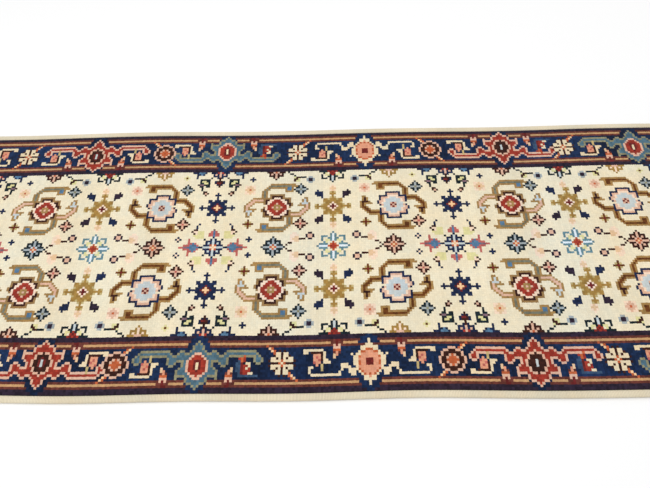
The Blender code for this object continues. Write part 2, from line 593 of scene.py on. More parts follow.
def mid_sprigs() -> Patch:
    """The mid row's sprigs round its petal flower: ring flowers, soft leaves and forks.

    Returns:
        The patch.
    """
    patch = Patch(23, 8, Fold.QUARTERS).box(Dye.PLUM, (9, 12, 4, 7))
    patch.dots(Dye.IVORY, (9, 4), (12, 4), (9, 7), (12, 7)).box(Dye.PINK, (10, 11, 5, 6))
    patch.box(Dye.UMBER, (13, 15, 4, 4)).disc(Dye.BLUSH, 2.3, 17.4, 4.6, 1.1)
    return patch.disc(Dye.APRICOT, 1.4, 16.8, 4).dots(Dye.UMBER, (19, 2), (20, 2), (21, 1))


def mid_hooks() -> Patch:
    """The mid row's hooked stems and leaf squares round its bud flower.

    Returns:
        The patch.
    """
    patch = Patch(17, 13, Fold.QUARTERS).box(Dye.LEAF, (5, 9, 5, 8)).dots(Dye.IVORY, (9, 5))
    patch.dots(Dye.BLUSH, (8, 8), (8, 7), (9, 8)).dots(Dye.NAVY, (7, 12), (8, 11), (8, 10))
    patch.dots(Dye.UMBER, (8, 9), (9, 9), (10, 8), (9, 7)).dots(Dye.DEEP_TEAL, (4, 4))
    patch.diamond(Dye.NAVY, 1, 16, 4)
    unfolded = patch.copy(patch.dyes)
    return unfolded.dots(Dye.BLUSH, (-16, 4), (-16, -4))


def edge_sprigs() -> Patch:
    """What stands either side of the half petal flower: a round bud, dashes and a bracket.

    Returns:
        The patch.
    """
    patch = Patch(23, 9, Fold.SIDES).disc(Dye.MIST, 1.9, 10.4, 5.5).disc(Dye.PLUM, 1.25, 10.4, 5.5)
    patch.box(Dye.DEEP_TEAL, (13, 15, 4, 4)).box(Dye.LEAF, (16, 18, 4, 6))
    patch.dots(Dye.UMBER, (17, 4), (17, 5), (18, 5), (18, 6), (16, 4))
    return patch.dots(Dye.DEEP_TEAL, (19, 2), (20, 2), (21, 1), (18, 3))


def edge_brackets() -> Patch:
    """Either side of the half bud flower: a ring flower on a stem over a square scroll.

    Returns:
        The patch.
    """
    patch = Patch(12, 15, Fold.SIDES).dots(Dye.UMBER, (5, 13), (6, 14), (7, 13), (6, 12), (7, 12))
    patch.dots(Dye.PINK, (6, 13)).dots(Dye.DEEP_TEAL, (8, 11), (8, 10), (9, 9))
    patch.dots(Dye.UMBER, (10, 8)).box(Dye.DEEP_TEAL, (5, 9, 5, 9)).dots(Dye.IVORY, (7, 9))
    patch.dots(Dye.MAUVE, (8, 8), (9, 8)).dots(Dye.LEAF, (7, 7), (7, 6), (8, 6), (6, 7))
    return patch.dots(Dye.DEEP_TEAL, (4, 4))


def dagger() -> Patch:
    """The dark pointed bud that stands on the half bud flower."""
    patch = Patch(3, 10).dots(Dye.UMBER, (0, 9), (0, 5), (0, 4)).box(Dye.UMBER, (0, 0, 6, 8))
    return patch.dots(Dye.UMBER, (-1, 6), (1, 6), (1, 7)).dots(Dye.MAROON, (-1, 7), (0, 7))


def edge_dots() -> Patch:
    """A navy cross on one side of the half bud flower, a brown dot in leaf green on the other."""
    patch = Patch(18, 6).diamond(Dye.NAVY, 1, 16, 5).diamond(Dye.LEAF, 1, -16, 4)
    return patch.dots(Dye.BROWN, (-16, 4))


def pale_border_flower() -> Patch:
    """A border flower of eight cream petals on umber, nine knots across.

    Returns:
        The patch.
    """
    patch = Patch(5, 5, Fold.EIGHTHS).box(Dye.UMBER, (2, 4, 0, 0))
    patch.box(Dye.CREAM, (2, 4, 1, 1), (3, 4, 2, 2)).dots(Dye.UMBER, (2, 2), (3, 3), (5, 1))
    return patch.dots(Dye.RUST, (1, 0)).dots(Dye.CREAM, (0, 0), (1, 1))


def dark_border_flower() -> Patch:
    """A border flower of eight dark petals, each ringed with pink, round a rust heart.

    Returns:
        The patch.
    """
    patch = Patch(6, 6, Fold.EIGHTHS).dots(Dye.PINK, (5, 0), (5, 1), (4, 2), (4, 3), (2, 1))
    patch.box(Dye.UMBER, (3, 4, 0, 1)).dots(Dye.UMBER, (2, 2), (3, 2), (3, 3))
    return patch.dots(Dye.RUST, (2, 0), (1, 1), (1, 0), (0, 0))


def flower_stems() -> Patch:
    """The slanting stems that tie a border flower to both guard lines."""
    patch = Patch(7, 8).stroke(Dye.RUST, 0.6, (-6, 7), (-3, 4.4)).dots(Dye.PEACH, (-5, 6), (-4, 5))
    return patch.add(patch.turned())


def hook_bud() -> Patch:
    """The pale hooked bud beside a palmette: a cream hook round a salmon petal.

    Returns:
        The patch.
    """
    patch = Patch(28, 8).stroke(Dye.KHAKI, 0.5, (19, 3), (19, 1)).box(Dye.SALMON, (20, 22, -3, 0))
    patch.dots(Dye.ROSE, (20, -1), (21, -2), (22, 0)).dots(Dye.SALMON, (21, 1))
    patch.box(Dye.CREAM, (18, 18, -4, 0)).dots(Dye.CREAM, (16, 0), (17, 0), (17, -1))
    patch.box(Dye.UMBER, (19, 19, -3, -1), (19, 23, -4, -4))
    return patch.box(Dye.CREAM, (19, 26, -5, -5), (25, 26, -4, -4))


def blue_bud() -> Patch:
    """The red bud with a slate back and cream scallops beside a palmette.

    Returns:
        The patch.
    """
    patch = Patch(28, 8).box(Dye.BRICK, (17, 19, 1, 2)).dots(Dye.RUST, (18, 2), (18, 1), (19, 3))
    patch.box(Dye.SLATE_BLUE, (16, 17, -4, 1)).dots(Dye.BORDER_BLUE, (16, 1), (16, -4))
    patch.box(Dye.MAROON, (18, 18, -4, 0)).box(Dye.BRICK, (19, 20, -4, -1))
    patch.box(Dye.SLATE_BLUE, (17, 24, -5, -5))
    patch.dots(Dye.CREAM, (20, 0), (21, 0), (21, -1), (20, -2), (21, -4), (22, -4))
    return patch.dots(Dye.BRICK, (21, -2), (21, -3))


def guard_bud() -> Patch:
    """A small pointed bud on the guard line opposite a palmette's wings.

    Returns:
        The patch.
    """
    patch = Patch(17, 10, Fold.SIDES).box(Dye.RUSSET, (11, 15, -8, -7))
    patch.dots(Dye.MAROON, (13, -8), (13, -7), (12, -9), (13, -9))
    patch.dots(Dye.PINK, (12, -7), (14, -7), (12, -6), (13, -6), (14, -6))
    patch.box(Dye.RUST, (12, 14, -5, -5)).dots(Dye.RUSSET, (12, -4), (14, -4))
    return patch.dots(Dye.SALMON, (13, -4), (13, -3)).dots(Dye.APRICOT, (14, -3), (14, -2))


def slender_palmette(dyes: PalmetteDyes) -> Patch:
    """The slender palmette: narrow tips, a thin prong and a humped arm to each side.

    Args:
        dyes: Its dyes.

    Returns:
        The patch.
    """
    patch = Patch(28, 11, Fold.SIDES)
    steps = ((-9, 0), (-8, 0.5), (-7, 1.5), (-6, 3), (-4, 4.5), (-3, 5), (-1, 6), (1, 6), (3, 5))
    patch.spindle(dyes.fill, *steps, (5, 3.4), (7, 2), (8, 0.6), (9, 0))
    patch.stroke(dyes.fill, 0.6, (5, -1), (7, -3))
    patch.box(dyes.fill, (6, 8, 3, 4), (6, 7, 5, 5), (8, 11, 2, 2), (9, 11, 1, 1))
    return patch.dots(dyes.fill, (11, 3), (12, 4), (23, 2)).box(dyes.fill, (12, 23, 5, 5), (24, 24, 2, 4))


def full_palmette(dyes: PalmetteDyes) -> Patch:
    """The full palmette: a hump, a lobe, a long stem that curls over and a leg to each side.

    Args:
        dyes: Its dyes.

    Returns:
        The patch.
    """
    patch = Patch(28, 11, Fold.SIDES)
    steps = ((-9, 0), (-8, 1.6), (-7, 3), (-5, 4.5), (-3, 5.5), (1, 5), (3, 4), (4, 3), (5, 2))
    patch.spindle(dyes.fill, *steps, (7, 1.5), (8, 0))
    patch.box(
        dyes.fill, (3, 11, 2, 2), (5, 8, 3, 3), (6, 7, 4, 4), (9, 11, 1, 1), (10, 11, 0, 0),
        (11, 12, 3, 3), (12, 23, 4, 4), (24, 25, 1, 2)
    )
    patch.dots(dyes.fill, (24, 3), (6, -2)).box(dyes.fill, (6, 7, -4, -3)).rim(dyes.fill, dyes.line)
    return patch.dots(dyes.line, (8, -5), (8, -6), (7, -2), (12, 1), (0, -10))


def palmette(dyes: PalmetteDyes) -> Patch:
    """A palmette of the main border, its wings towards +y, with the buds that go with it.

    Args:
        dyes: Its dyes.

    Returns:
        The patch.
    """
    patch = Patch(28, 11, Fold.SIDES)
    for sign in (1, -1):
        notch = [(-1, 7), (4.4, 7), (3.4, 10), (1.4, 11.4), (-1, 11.4)]
        patch.shape(Dye.BORDER_BLUE, *[(x, sign * y) for x, y in notch])
    patch.add(slender_palmette(dyes) if dyes.slender else full_palmette(dyes))
    size = dyes.heart_size
    middle, tall = (0.3, 1.18) if dyes.slender else (-0.9, 1.2)
    patch.disc(dyes.heart_line, size + 0.9, 0, middle, tall).disc(dyes.heart, size, 0, middle, tall)
    if dyes.slender:
        edge = np.hypot(patch.x, (patch.y - middle) / tall) - size - 0.45
        patch.where((np.abs(edge) < 0.5) & ((patch.x + patch.y) % 3 == 0), dyes.heart)
        patch.box(dyes.middle, (0, 1, -1, 1))
    else:
        patch.box(dyes.heart, (0, 0, middle - size - 1.5, middle + size + 1.2))
        patch.disc(dyes.middle, size * 0.45, 0, middle, 1.6)
        patch.box(dyes.bar, (0, 0, -2, 0))
    bud = blue_bud() if dyes.blue_bud else hook_bud()
    return patch.add(guard_bud()).add(bud).add(hook_bud().mirrored())


NAVY_STAR = StarDyes(Dye.NAVY, Dye.BARE, Dye.MAROON, Dye.PEACH)
GOLD_STAR = StarDyes(Dye.GOLD, Dye.KHAKI, Dye.BLUSH, Dye.MAROON)
BLUE_MEDALLION = MedallionDyes(
    ((1.0, Dye.NAVY), (0.88, Dye.PINK), (0.74, Dye.BLUSH)),
    Dye.BROWN, Dye.TAN, Dye.BROWN, Dye.BROWN, Dye.TAN, Dye.UMBER,
)
RED_MEDALLION = MedallionDyes(
    ((1.0, Dye.BARK), (0.88, Dye.UMBER)),
    Dye.SLATE, Dye.TAN, Dye.BLUE, Dye.PINK, Dye.TAN, Dye.SKY,
)
BROWN_DIAMOND = FlowerDyes(Dye.UMBER, Dye.PINK, Dye.ROSE, Dye.PINK)
TEAL_DIAMOND = FlowerDyes(Dye.DEEP_TEAL, Dye.MIST, Dye.SAGE, Dye.SKY)
PALE_FLOWER = FlowerDyes(Dye.TEAL, Dye.WHITE, Dye.BRICK, Dye.RUST)
TEAL_EDGE_FLOWER = FlowerDyes(Dye.DEEP_TEAL, Dye.SKY, Dye.BRICK, Dye.MAROON, heart_reach=3)
BROWN_FLOWER = FlowerDyes(Dye.UMBER, Dye.PINK, Dye.PEACH, Dye.PINK, inner=Dye.RUST)
TEAL_FLOWER = FlowerDyes(Dye.DEEP_TEAL, Dye.MIST, Dye.PEACH, Dye.SKY, inner=Dye.RUST)
NAVY_FLOWER = FlowerDyes(Dye.NAVY, Dye.SKY, Dye.PEACH, Dye.RUST, inner=Dye.BLUSH)
NAVY_EDGE_FLOWER = FlowerDyes(Dye.NAVY, Dye.PINK, Dye.PINK, Dye.BRICK)
GOLD_FLOWER = FlowerDyes(Dye.GOLD, Dye.BLUSH, Dye.BRICK, Dye.PINK)
CREAM_PALMETTE = PalmetteDyes(
    Dye.CREAM, Dye.CREAM, Dye.RUST, Dye.SALMON, Dye.MAROON, Dye.MAROON, 3.9, False, slender=True
)
RED_PALMETTE = PalmetteDyes(Dye.BRICK, Dye.PINK, Dye.PINK, Dye.UMBER, Dye.UMBER, Dye.SKY, 3.3, True)
TEAL_PALMETTE = PalmetteDyes(Dye.LAGOON, Dye.SAGE, Dye.PINK, Dye.BRICK, Dye.MAROON, Dye.CREAM, 3.5, True)
SALMON_PALMETTE = PalmetteDyes(Dye.BRICK, Dye.PINK, Dye.PINK, Dye.UMBER, Dye.MAROON, Dye.SKY, 3.3, False)

# Knots that a drawing strays along the rug, by its number: in the near row and in the far row.
PALMETTE_STRAY = {-2: (0, 1), -1: (-3, 0), 0: (0, 2), 1: (0, 3), 2: (0, 1)}
MEDALLION_STRAY = {-5: (1, 0), -3: (0, 1), -2: (-1, 0), -1: (0, 1), 1: (0, 1), 2: (0, 1)}
MEDALLION_STRAY |= {3: (1, 1), 4: (1, 1)}
FLOWER_STRAY = {-2: (0, 0), -1: (-3, 2), 0: (-2, 2), 1: (0, 1), 2: (-1, 0)}


@dataclass
class Cartoon:
    """The weaver's drawing: the dye of every knot, rows across the rug and columns along it.

    Attributes:
        columns: Knots along the rug.
        rows: Knots across it.
        guard: Knots in each guard band.
        main: Knots in the main border.
        column_step: Knots from one column of the field to the next.
        row_step: Knots from the mid row to the medallions, and from them to the edge flowers.
        palmette_step: Knots between palmettes.
        first_palmette: Where the palmette numbered 0 stands.
        end_flower_step: Knots between the corner and the flower beside it, across an end.
    """

    columns: int
    rows: int
    guard: int
    main: int
    column_step: int = 27
    row_step: int = 21
    palmette_step: int = 66
    first_palmette: int = 14
    end_flower_step: int = 20
    dyes: np.ndarray = field(init=False)

    def __post_init__(self) -> None:
        """Start with an ivory ground."""
        self.dyes = np.full((self.rows, self.columns), Dye.IVORY)

    @property
    def border(self) -> int:
        """Knots from the pile's edge to the field."""
        return 2 * self.guard + self.main

    def lay(self, dyes: np.ndarray, x: int, y: int, inside: int = 0) -> None:
        """Knot a patch into the drawing.

        Args:
            dyes: The patch's knots.
            x: Column of its middle from the rug's middle.
            y: Row of its middle from the rug's middle.
            inside: Knots of border that it must stay clear of.
        """
        half_rows, half_columns = dyes.shape[0] // 2, dyes.shape[1] // 2
        top = self.rows // 2 + y - half_rows
        left = self.columns // 2 + x - half_columns
        row0, row1 = max(top, inside), min(top + dyes.shape[0], self.rows - inside)
        col0, col1 = max(left, inside), min(left + dyes.shape[1], self.columns - inside)
        if row0 >= row1 or col0 >= col1:
            return
        part = dyes[row0 - top : row1 - top, col0 - left : col1 - left]
        under = self.dyes[row0:row1, col0:col1]
        self.dyes[row0:row1, col0:col1] = np.where(part == Dye.BARE, under, part)

    def lay_rows(self, patch: Patch, x: int, y: int, stray: tuple[int, int] = (0, 0)) -> None:
        """Knot a patch in the near row and its mirror image in the far row, inside the field.

        Args:
            patch: The patch, as it stands in the far row.
            x: Column of its middle.
            y: How many rows its middle is from the rug's.
            stray: Knots that the near and the far one stray along the rug.
        """
        near, far = stray
        self.lay(patch.dyes, x + near, -y, self.border)
        self.lay(patch.dyes[::-1], x + far, y, self.border)

    def draw(self) -> None:
        """Draw the whole rug."""
        reach = self.columns // (2 * self.column_step)
        for number in range(-reach, reach + 1):
            self.draw_column(number)
        self.draw_bands()
        self.draw_long_borders()
        self.draw_end_borders()

    def draw_column(self, number: int) -> None:
        """Draw one column of the field: a medallion in each row, and flowers mid and at the edges.

        Args:
            number: Its place from the middle column, which is 0.
        """
        x = number * self.column_step
        row, edge = self.row_step, 2 * self.row_step
        kind, stray = Column(number % 4), MEDALLION_STRAY.get(number, (0, 0))
        if kind is Column.GOLD_STAR:
            self.lay_rows(star_buds(), x, row)
            self.lay_rows(star(GOLD_STAR), x, row, stray)
            self.lay_rows(star_leaves(Dye.NAVY, Dye.PLUM), x, row)
            self.lay(mid_sprigs().dyes, x, 0, self.border)
            self.lay(petal_flower(PALE_FLOWER).dyes, x, 0, self.border)
            self.lay_rows(edge_sprigs(), x, edge)
            self.lay_rows(petal_flower(TEAL_EDGE_FLOWER), x, edge)
        elif kind is Column.NAVY_STAR:
            self.lay_rows(star(NAVY_STAR), x, row, stray)
            self.lay(mid_hooks().dyes, x, 0, self.border)
            self.draw_bud_flower(x, 0, NAVY_FLOWER, (Dye.MAUVE, Dye.BLUE, Dye.ROSE))
            self.lay_rows(edge_brackets(), x, edge)
            self.draw_bud_flower(x, edge, NAVY_EDGE_FLOWER, (Dye.NAVY, Dye.BLUE, Dye.NAVY))
            self.lay_rows(dagger(), x, edge)
            self.lay_rows(edge_dots(), x, edge)
        else:
            self.draw_medallion_column(x, kind is Column.BLUE_MEDALLION, stray)

    def draw_bud_flower(self, x: int, y: int, dyes: FlowerDyes, bud: tuple[Dye, Dye, Dye]) -> None:
        """Draw the looped flower with a lotus bud to each side, in the mid row or at both edges.

        Args:
            x: Column of its middle.
            y: Row of its middle: 0 for the mid row, or where it stands at both edges.
            dyes: The flower's dyes.
            bud: Dyes of a bud's tip, middle and spikes.
        """
        side = lotus_bud(*bud)
        for patch in (side, side.mirrored(), top_bud(*bud), looped_flower(dyes)):
            if y == 0:
                self.lay(patch.dyes, x, 0, self.border)
            else:
                self.lay_rows(patch, x, y)

    def draw_medallion_column(self, x: int, blue: bool, stray: tuple[int, int]) -> None:
        """Draw a blue or red medallion in each row with its four small flowers.

        Args:
            x: Column of the medallions.
            blue: Whether they are the blue ones.
            stray: Knots that the near and the far medallion stray along the rug.
        """
        row, edge = self.row_step, 2 * self.row_step
        off_x, low_y, high_y = 12, 10, 9
        dyes, heart = (BLUE_MEDALLION, blue_heart()) if blue else (RED_MEDALLION, red_heart())
        self.lay_rows(medallion(dyes, 1 if blue else -1), x, row, stray)
        self.lay_rows(heart, x, row, stray)
        self.lay_rows(small_plus(), x - off_x, row - high_y)
        self.lay_rows(small_diamond(BROWN_DIAMOND), x + off_x, row - high_y)
        self.lay_rows(small_diamond(TEAL_DIAMOND), x + off_x, row + low_y)
        bloom = blossom(Dye.PINK if blue else Dye.APRICOT, Dye.BLUSH)
        self.lay_rows(bloom, x - off_x, row + low_y)
        middle, side = (BROWN_FLOWER, GOLD_FLOWER) if blue else (TEAL_FLOWER, BROWN_FLOWER)
        self.lay(looped_flower(middle).dyes, x, 0, self.border)
        self.lay_rows(looped_flower(side), x, edge)

    def draw_bands(self) -> None:
        """Fill the border bands: plum, a russet and peach line, and the blue main border."""
        row, column = np.mgrid[0 : self.rows, 0 : self.columns]
        inset = np.minimum.reduce([row, self.rows - 1 - row, column, self.columns - 1 - column])
        depth = np.abs(inset - self.border // 2)
        edge = self.main // 2
        self.dyes[depth <= edge] = Dye.BORDER_BLUE
        for offset, dye in enumerate((Dye.RUSSET, Dye.GUARD_PEACH, Dye.RUSSET, Dye.PLUM, Dye.PLUM)):
            self.dyes[(depth == edge + 1 + offset) & (inset < self.border)] = dye

    def draw_long_borders(self) -> None:
        """Draw the palmettes and flowers of the near border, and mirror them into the far one.

        The weaver's spacing is uneven, so each palmette and flower strays a little from its
        even place, and differently in the two borders.
        """
        y = -(self.rows // 2) + self.border // 2
        kinds = (CREAM_PALMETTE, RED_PALMETTE, TEAL_PALMETTE)
        for number in range(-3, 4):
            kind = SALMON_PALMETTE if number == -2 else kinds[number % 3]
            patch = palmette(kind) if number < 3 else hook_bud().mirrored()
            drawn = patch.dyes if number % 2 else patch.dyes[::-1]
            place = self.first_palmette + number * self.palmette_step
            near, far = PALMETTE_STRAY.get(number, (0, 0))
            self.lay(drawn, place + near, y)
            self.lay(drawn[::-1], place + far, -y)
            if number > -3:
                place -= self.palmette_step // 2
                near, far = FLOWER_STRAY.get(number, (0, 0))
                flower = flower_stems()
                if number % 2:
                    flower = flower.mirrored()
                flower.add(dark_border_flower() if number % 2 else pale_border_flower())
                self.lay(flower.dyes, place + near, y)
                self.lay(flower.dyes[::-1], place + far, -y)

    def draw_end_borders(self) -> None:
        """Draw a palmette and flowers across each end, and a flower in each corner."""
        x = self.columns // 2 - self.border // 2
        y = self.rows // 2 - self.border // 2
        drawn = np.rot90(palmette(RED_PALMETTE).dyes)
        flower = pale_border_flower().dyes
        dark = dark_border_flower().dyes
        for side in (1, -1):
            self.lay(drawn[:, ::side], side * x, 0)
            for across in (1, -1):
                self.lay(dark, side * x, across * (y - self.end_flower_step))
                self.lay(flower, side * x, across * y)


# --- mesh building


def noise(seed: int, *shape: int) -> np.ndarray:
    """Seeded values from -1 to 1."""
    return np.random.default_rng(seed).uniform(-1.0, 1.0, shape)


def drift(place: np.ndarray, seed: int, shortest: float, longest: float) -> np.ndarray:
    """A slow wander from about -1 to 1: five sine waves of seeded length and start, averaged.

    Args:
        place: Where along a line, in metres.
        seed: Chooses the waves.
        shortest: Shortest wavelength.
        longest: Longest wavelength.

    Returns:
        One value per place.
    """
    rng = np.random.default_rng(seed)
    waves = rng.uniform(shortest, longest, 5)
    starts = rng.uniform(0.0, 2 * pi, 5)
    return np.sin(2 * pi * place[..., None] / waves + starts).sum(axis=-1) / 2.5


@dataclass(frozen=True)
class Lay:
    """How the rug lies on the floor: its long edges wander a little.

    Attributes:
        half_width: Half the rug's width.
        wander: Furthest a long edge strays from straight.
    """

    half_width: float
    wander: float = 0.0022

    def place(self, points: np.ndarray) -> np.ndarray:
        """Move points sideways with the two edges.

        Each edge follows its own slow wander along the rug, and a point between them takes
        a share of both by its distance from each.

        Args:
            points: Places on the straight rug.

        Returns:
            The places on the rug as it lies.
        """
        share = np.clip(points[..., 1] / (2 * self.half_width) + 0.5, 0.0, 1.0)
        near = drift(points[..., 0], 11, 0.45, 1.3)
        far = drift(points[..., 0], 12, 0.45, 1.3)
        moved = points.copy()
        moved[..., 1] += self.wander * (near * (1 - share) + far * share)
        return moved


@dataclass(frozen=True)
class Region:
    """Part of a piece's colour map, where a long strip is folded into shelves.

    Attributes:
        low: Its lower edge, from 0 to 1.
        high: Its upper edge.
        shelves: How many equal lengths the strip is folded into.
        side_margin: Share of the map kept clear at each end of a shelf.
        shelf_margin: Share of a shelf kept clear below and above.
    """

    low: float
    high: float
    shelves: int = 1
    side_margin: float = 0.01
    shelf_margin: float = 0.05

    def fold(self, along: np.ndarray, across: np.ndarray) -> np.ndarray:
        """Places on the map of faces' corners.

        A face goes to the shelf that its middle falls in. There its place along the strip
        runs from side to side, and its place across the strip from bottom to top.

        Args:
            along: Share of the strip's length, one row per face.
            across: Share of its width, likewise.

        Returns:
            Both map coordinates of each corner.
        """
        middle = along.mean(axis=1, keepdims=True)
        shelf = np.clip(np.floor(middle * self.shelves), 0, self.shelves - 1)
        u = self.side_margin + (along * self.shelves - shelf) * (1 - 2 * self.side_margin)
        v = (shelf + self.shelf_margin + across * (1 - 2 * self.shelf_margin)) / self.shelves
        return np.stack([u, self.low + v * (self.high - self.low)], axis=-1)


class Form:
    """Faces gathered for one piece, with the yarn colour and map place of every corner."""

    def __init__(self) -> None:
        """Start with nothing."""
        self.points: list[np.ndarray] = []
        self.faces: list[np.ndarray] = []
        self.maps: list[np.ndarray] = []
        self.yarns: list[np.ndarray] = []
        self.smooth: list[np.ndarray] = []
        self.normals: list[np.ndarray] = []
        self.count = 0

    def add_points(self, points: np.ndarray) -> np.ndarray:
        """Take in points and give their numbers, in the same arrangement.

        Args:
            points: Places, in any arrangement.

        Returns:
            The numbers.
        """
        shape = points.shape[:-1]
        numbers = self.count + np.arange(int(np.prod(shape))).reshape(shape)
        self.points.append(points.reshape(-1, 3))
        self.count += numbers.size
        return numbers

    def add_faces(
        self,
        faces: np.ndarray,
        places: np.ndarray,
        yarn: np.ndarray,
        smooth: bool = True,
        normals: np.ndarray | None = None,
    ) -> None:
        """Take in faces that all have the same number of corners.

        Args:
            faces: Point numbers, anticlockwise seen from outside, one row per face.
            places: Map coordinates of each corner.
            yarn: Linear colour of each corner, of each face, or one for all.
            smooth: Whether the faces shade smoothly.
            normals: Shading direction of each corner, or none to leave them as they come.
        """
        self.faces.append(faces)
        self.normals.append(np.zeros((*faces.shape, 3)) if normals is None else normals)
        self.maps.append(places)
        if yarn.ndim == 2:
            yarn = yarn[:, None, :]
        self.yarns.append(np.broadcast_to(yarn, (*faces.shape, 3)))
        self.smooth.append(np.full(len(faces), smooth))

    def add_strip(self, below: np.ndarray, above: np.ndarray, region: Region, yarn: np.ndarray) -> None:
        """Take in flat quads between two lines of points.

        Args:
            below: Point numbers of one line, left to right seen from outside.
            above: Those of the line over it.
            region: Where the strip goes on the colour map.
            yarn: Its linear colour.
        """
        faces = np.stack([below[:-1], below[1:], above[1:], above[:-1]], axis=1)
        steps = np.linspace(0, 1, len(below))
        along = np.stack([steps[:-1], steps[1:], steps[1:], steps[:-1]], axis=1)
        across = np.broadcast_to([0.0, 0.0, 1.0, 1.0], along.shape)
        self.add_faces(faces, region.fold(along, across), yarn, smooth=False)

    def build(self, name: str, lay: Lay) -> bpy.types.Object:
        """Make the piece.

        Args:
            name: Its name.
            lay: How the rug lies.

        Returns:
            The object, at the origin.
        """
        mesh = bpy.data.meshes.new(name)
        points = lay.place(np.concatenate(self.points))
        corners = np.concatenate([faces.ravel() for faces in self.faces])
        sizes = np.concatenate([np.full(len(faces), faces.shape[1]) for faces in self.faces])
        mesh.vertices.add(len(points))
        mesh.vertices.foreach_set("co", points.ravel())
        mesh.loops.add(len(corners))
        mesh.loops.foreach_set("vertex_index", corners)
        mesh.polygons.add(len(sizes))
        mesh.polygons.foreach_set("loop_start", np.concatenate([[0], np.cumsum(sizes)[:-1]]))
        mesh.polygons.foreach_set("use_smooth", np.concatenate(self.smooth))
        mesh.update(calc_edges=True)
        places = mesh.uv_layers.new(name="OFBake")
        places.uv.foreach_set("vector", np.concatenate([m.reshape(-1, 2) for m in self.maps]).ravel())
        yarn = np.concatenate([y.reshape(-1, 3) for y in self.yarns])
        colours = mesh.color_attributes.new(name="yarn", type="FLOAT_COLOR", domain="CORNER")
        colours.data.foreach_set("color", np.column_stack([yarn, np.ones(len(yarn))]).ravel())
        normals = np.concatenate([n.reshape(-1, 3) for n in self.normals])
        if normals.any():
            mesh.normals_split_custom_set(normals)
        piece = bpy.data.objects.new(name, mesh)
        bpy.context.scene.collection.objects.link(piece)
        return piece


def grid_quads(numbers: np.ndarray) -> np.ndarray:
    """Quads between the rows and columns of a grid of point numbers, anticlockwise.

    Args:
        numbers: Point numbers, rows by columns.

    Returns:
        Four numbers per quad: along the row first, then to the next row.
    """
    corners = [numbers[:-1, :-1], numbers[:-1, 1:], numbers[1:, 1:], numbers[1:, :-1]]
    return np.stack([c.ravel() for c in corners], axis=1)


def grid_values(values: np.ndarray) -> np.ndarray:
    """Values at a grid's points, arranged as the corners of its quads."""
    corners = [values[:-1, :-1], values[:-1, 1:], values[1:, 1:], values[1:, :-1]]
    return np.stack([c.reshape(-1, *values.shape[2:]) for c in corners], axis=1)


class Strands:
    """Tubes carried along paths, all with the same number of rings and sides."""

    cap_spread = 0.0004  # half a closed end's length on the colour map

    def __init__(self, centres: np.ndarray, radius: np.ndarray, sides: int) -> None:
        """Work out the tubes' points.

        Round each path point lies a ring in the plane square to the path: its sideways
        direction is the upward one crossed with the path's.

        Args:
            centres: Paths, strand by ring by coordinate.
            radius: Half width and half height of each side of each ring,
                strand by ring by side by two.
            sides: Points in a ring.
        """
        along = np.gradient(centres, axis=1)
        along /= np.linalg.norm(along, axis=-1, keepdims=True)
        across = np.cross([0.0, 0.0, 1.0], along)
        across /= np.linalg.norm(across, axis=-1, keepdims=True)
        upward = np.cross(along, across)
        turn = np.linspace(0, 2 * pi, sides, endpoint=False)
        ring = np.stack([np.cos(turn), np.sin(turn)], axis=-1) * radius
        self.points = centres[:, :, None] + across[:, :, None] * ring[..., :1]
        self.points = self.points + upward[:, :, None] * ring[..., 1:]

    def add_to(self, form: Form, region: Region, yarn: np.ndarray, sealed: bool = True) -> np.ndarray:
        """Put the tubes into a form.

        Args:
            form: The piece being gathered.
            region: Where they go on its colour map, one strand after another.
            yarn: Linear colour of each point, strand by ring by side by three.
            sealed: Whether both ends are closed.

        Returns:
            The numbers of the points.
        """
        numbers = form.add_points(self.points)
        count, rings, sides = numbers.shape
        round_again = np.concatenate([numbers, numbers[:, :, :1]], axis=2)
        yarn_again = np.concatenate([yarn, yarn[:, :, :1]], axis=2)
        steps = (np.arange(count)[:, None] + np.linspace(0.0, 1.0, rings)) / count
        along = np.broadcast_to(steps[:, :, None], round_again.shape)
        across = np.broadcast_to(np.linspace(0.0, 1.0, sides + 1), round_again.shape)
        faces = [grid_quads(n) for n in round_again]
        places = [region.fold(grid_values(a), grid_values(c)) for a, c in zip(along, across)]
        shades = [grid_values(y) for y in yarn_again]
        form.add_faces(np.concatenate(faces), np.concatenate(places), np.concatenate(shades))
        if sealed:
            turn = np.linspace(0, 2 * pi, sides, endpoint=False)
            for end, order in ((0, slice(None, None, -1)), (-1, slice(None))):
                caps = numbers[:, end, order]
                middle = np.clip(steps[:, end], 0.001, 0.999)[:, None]
                along = middle + self.cap_spread * np.cos(turn[order])
                disc = region.fold(along, 0.5 + 0.4 * np.sin(turn[order]))
                form.add_faces(caps, disc, yarn[:, end, order])
        return numbers


# --- finishes


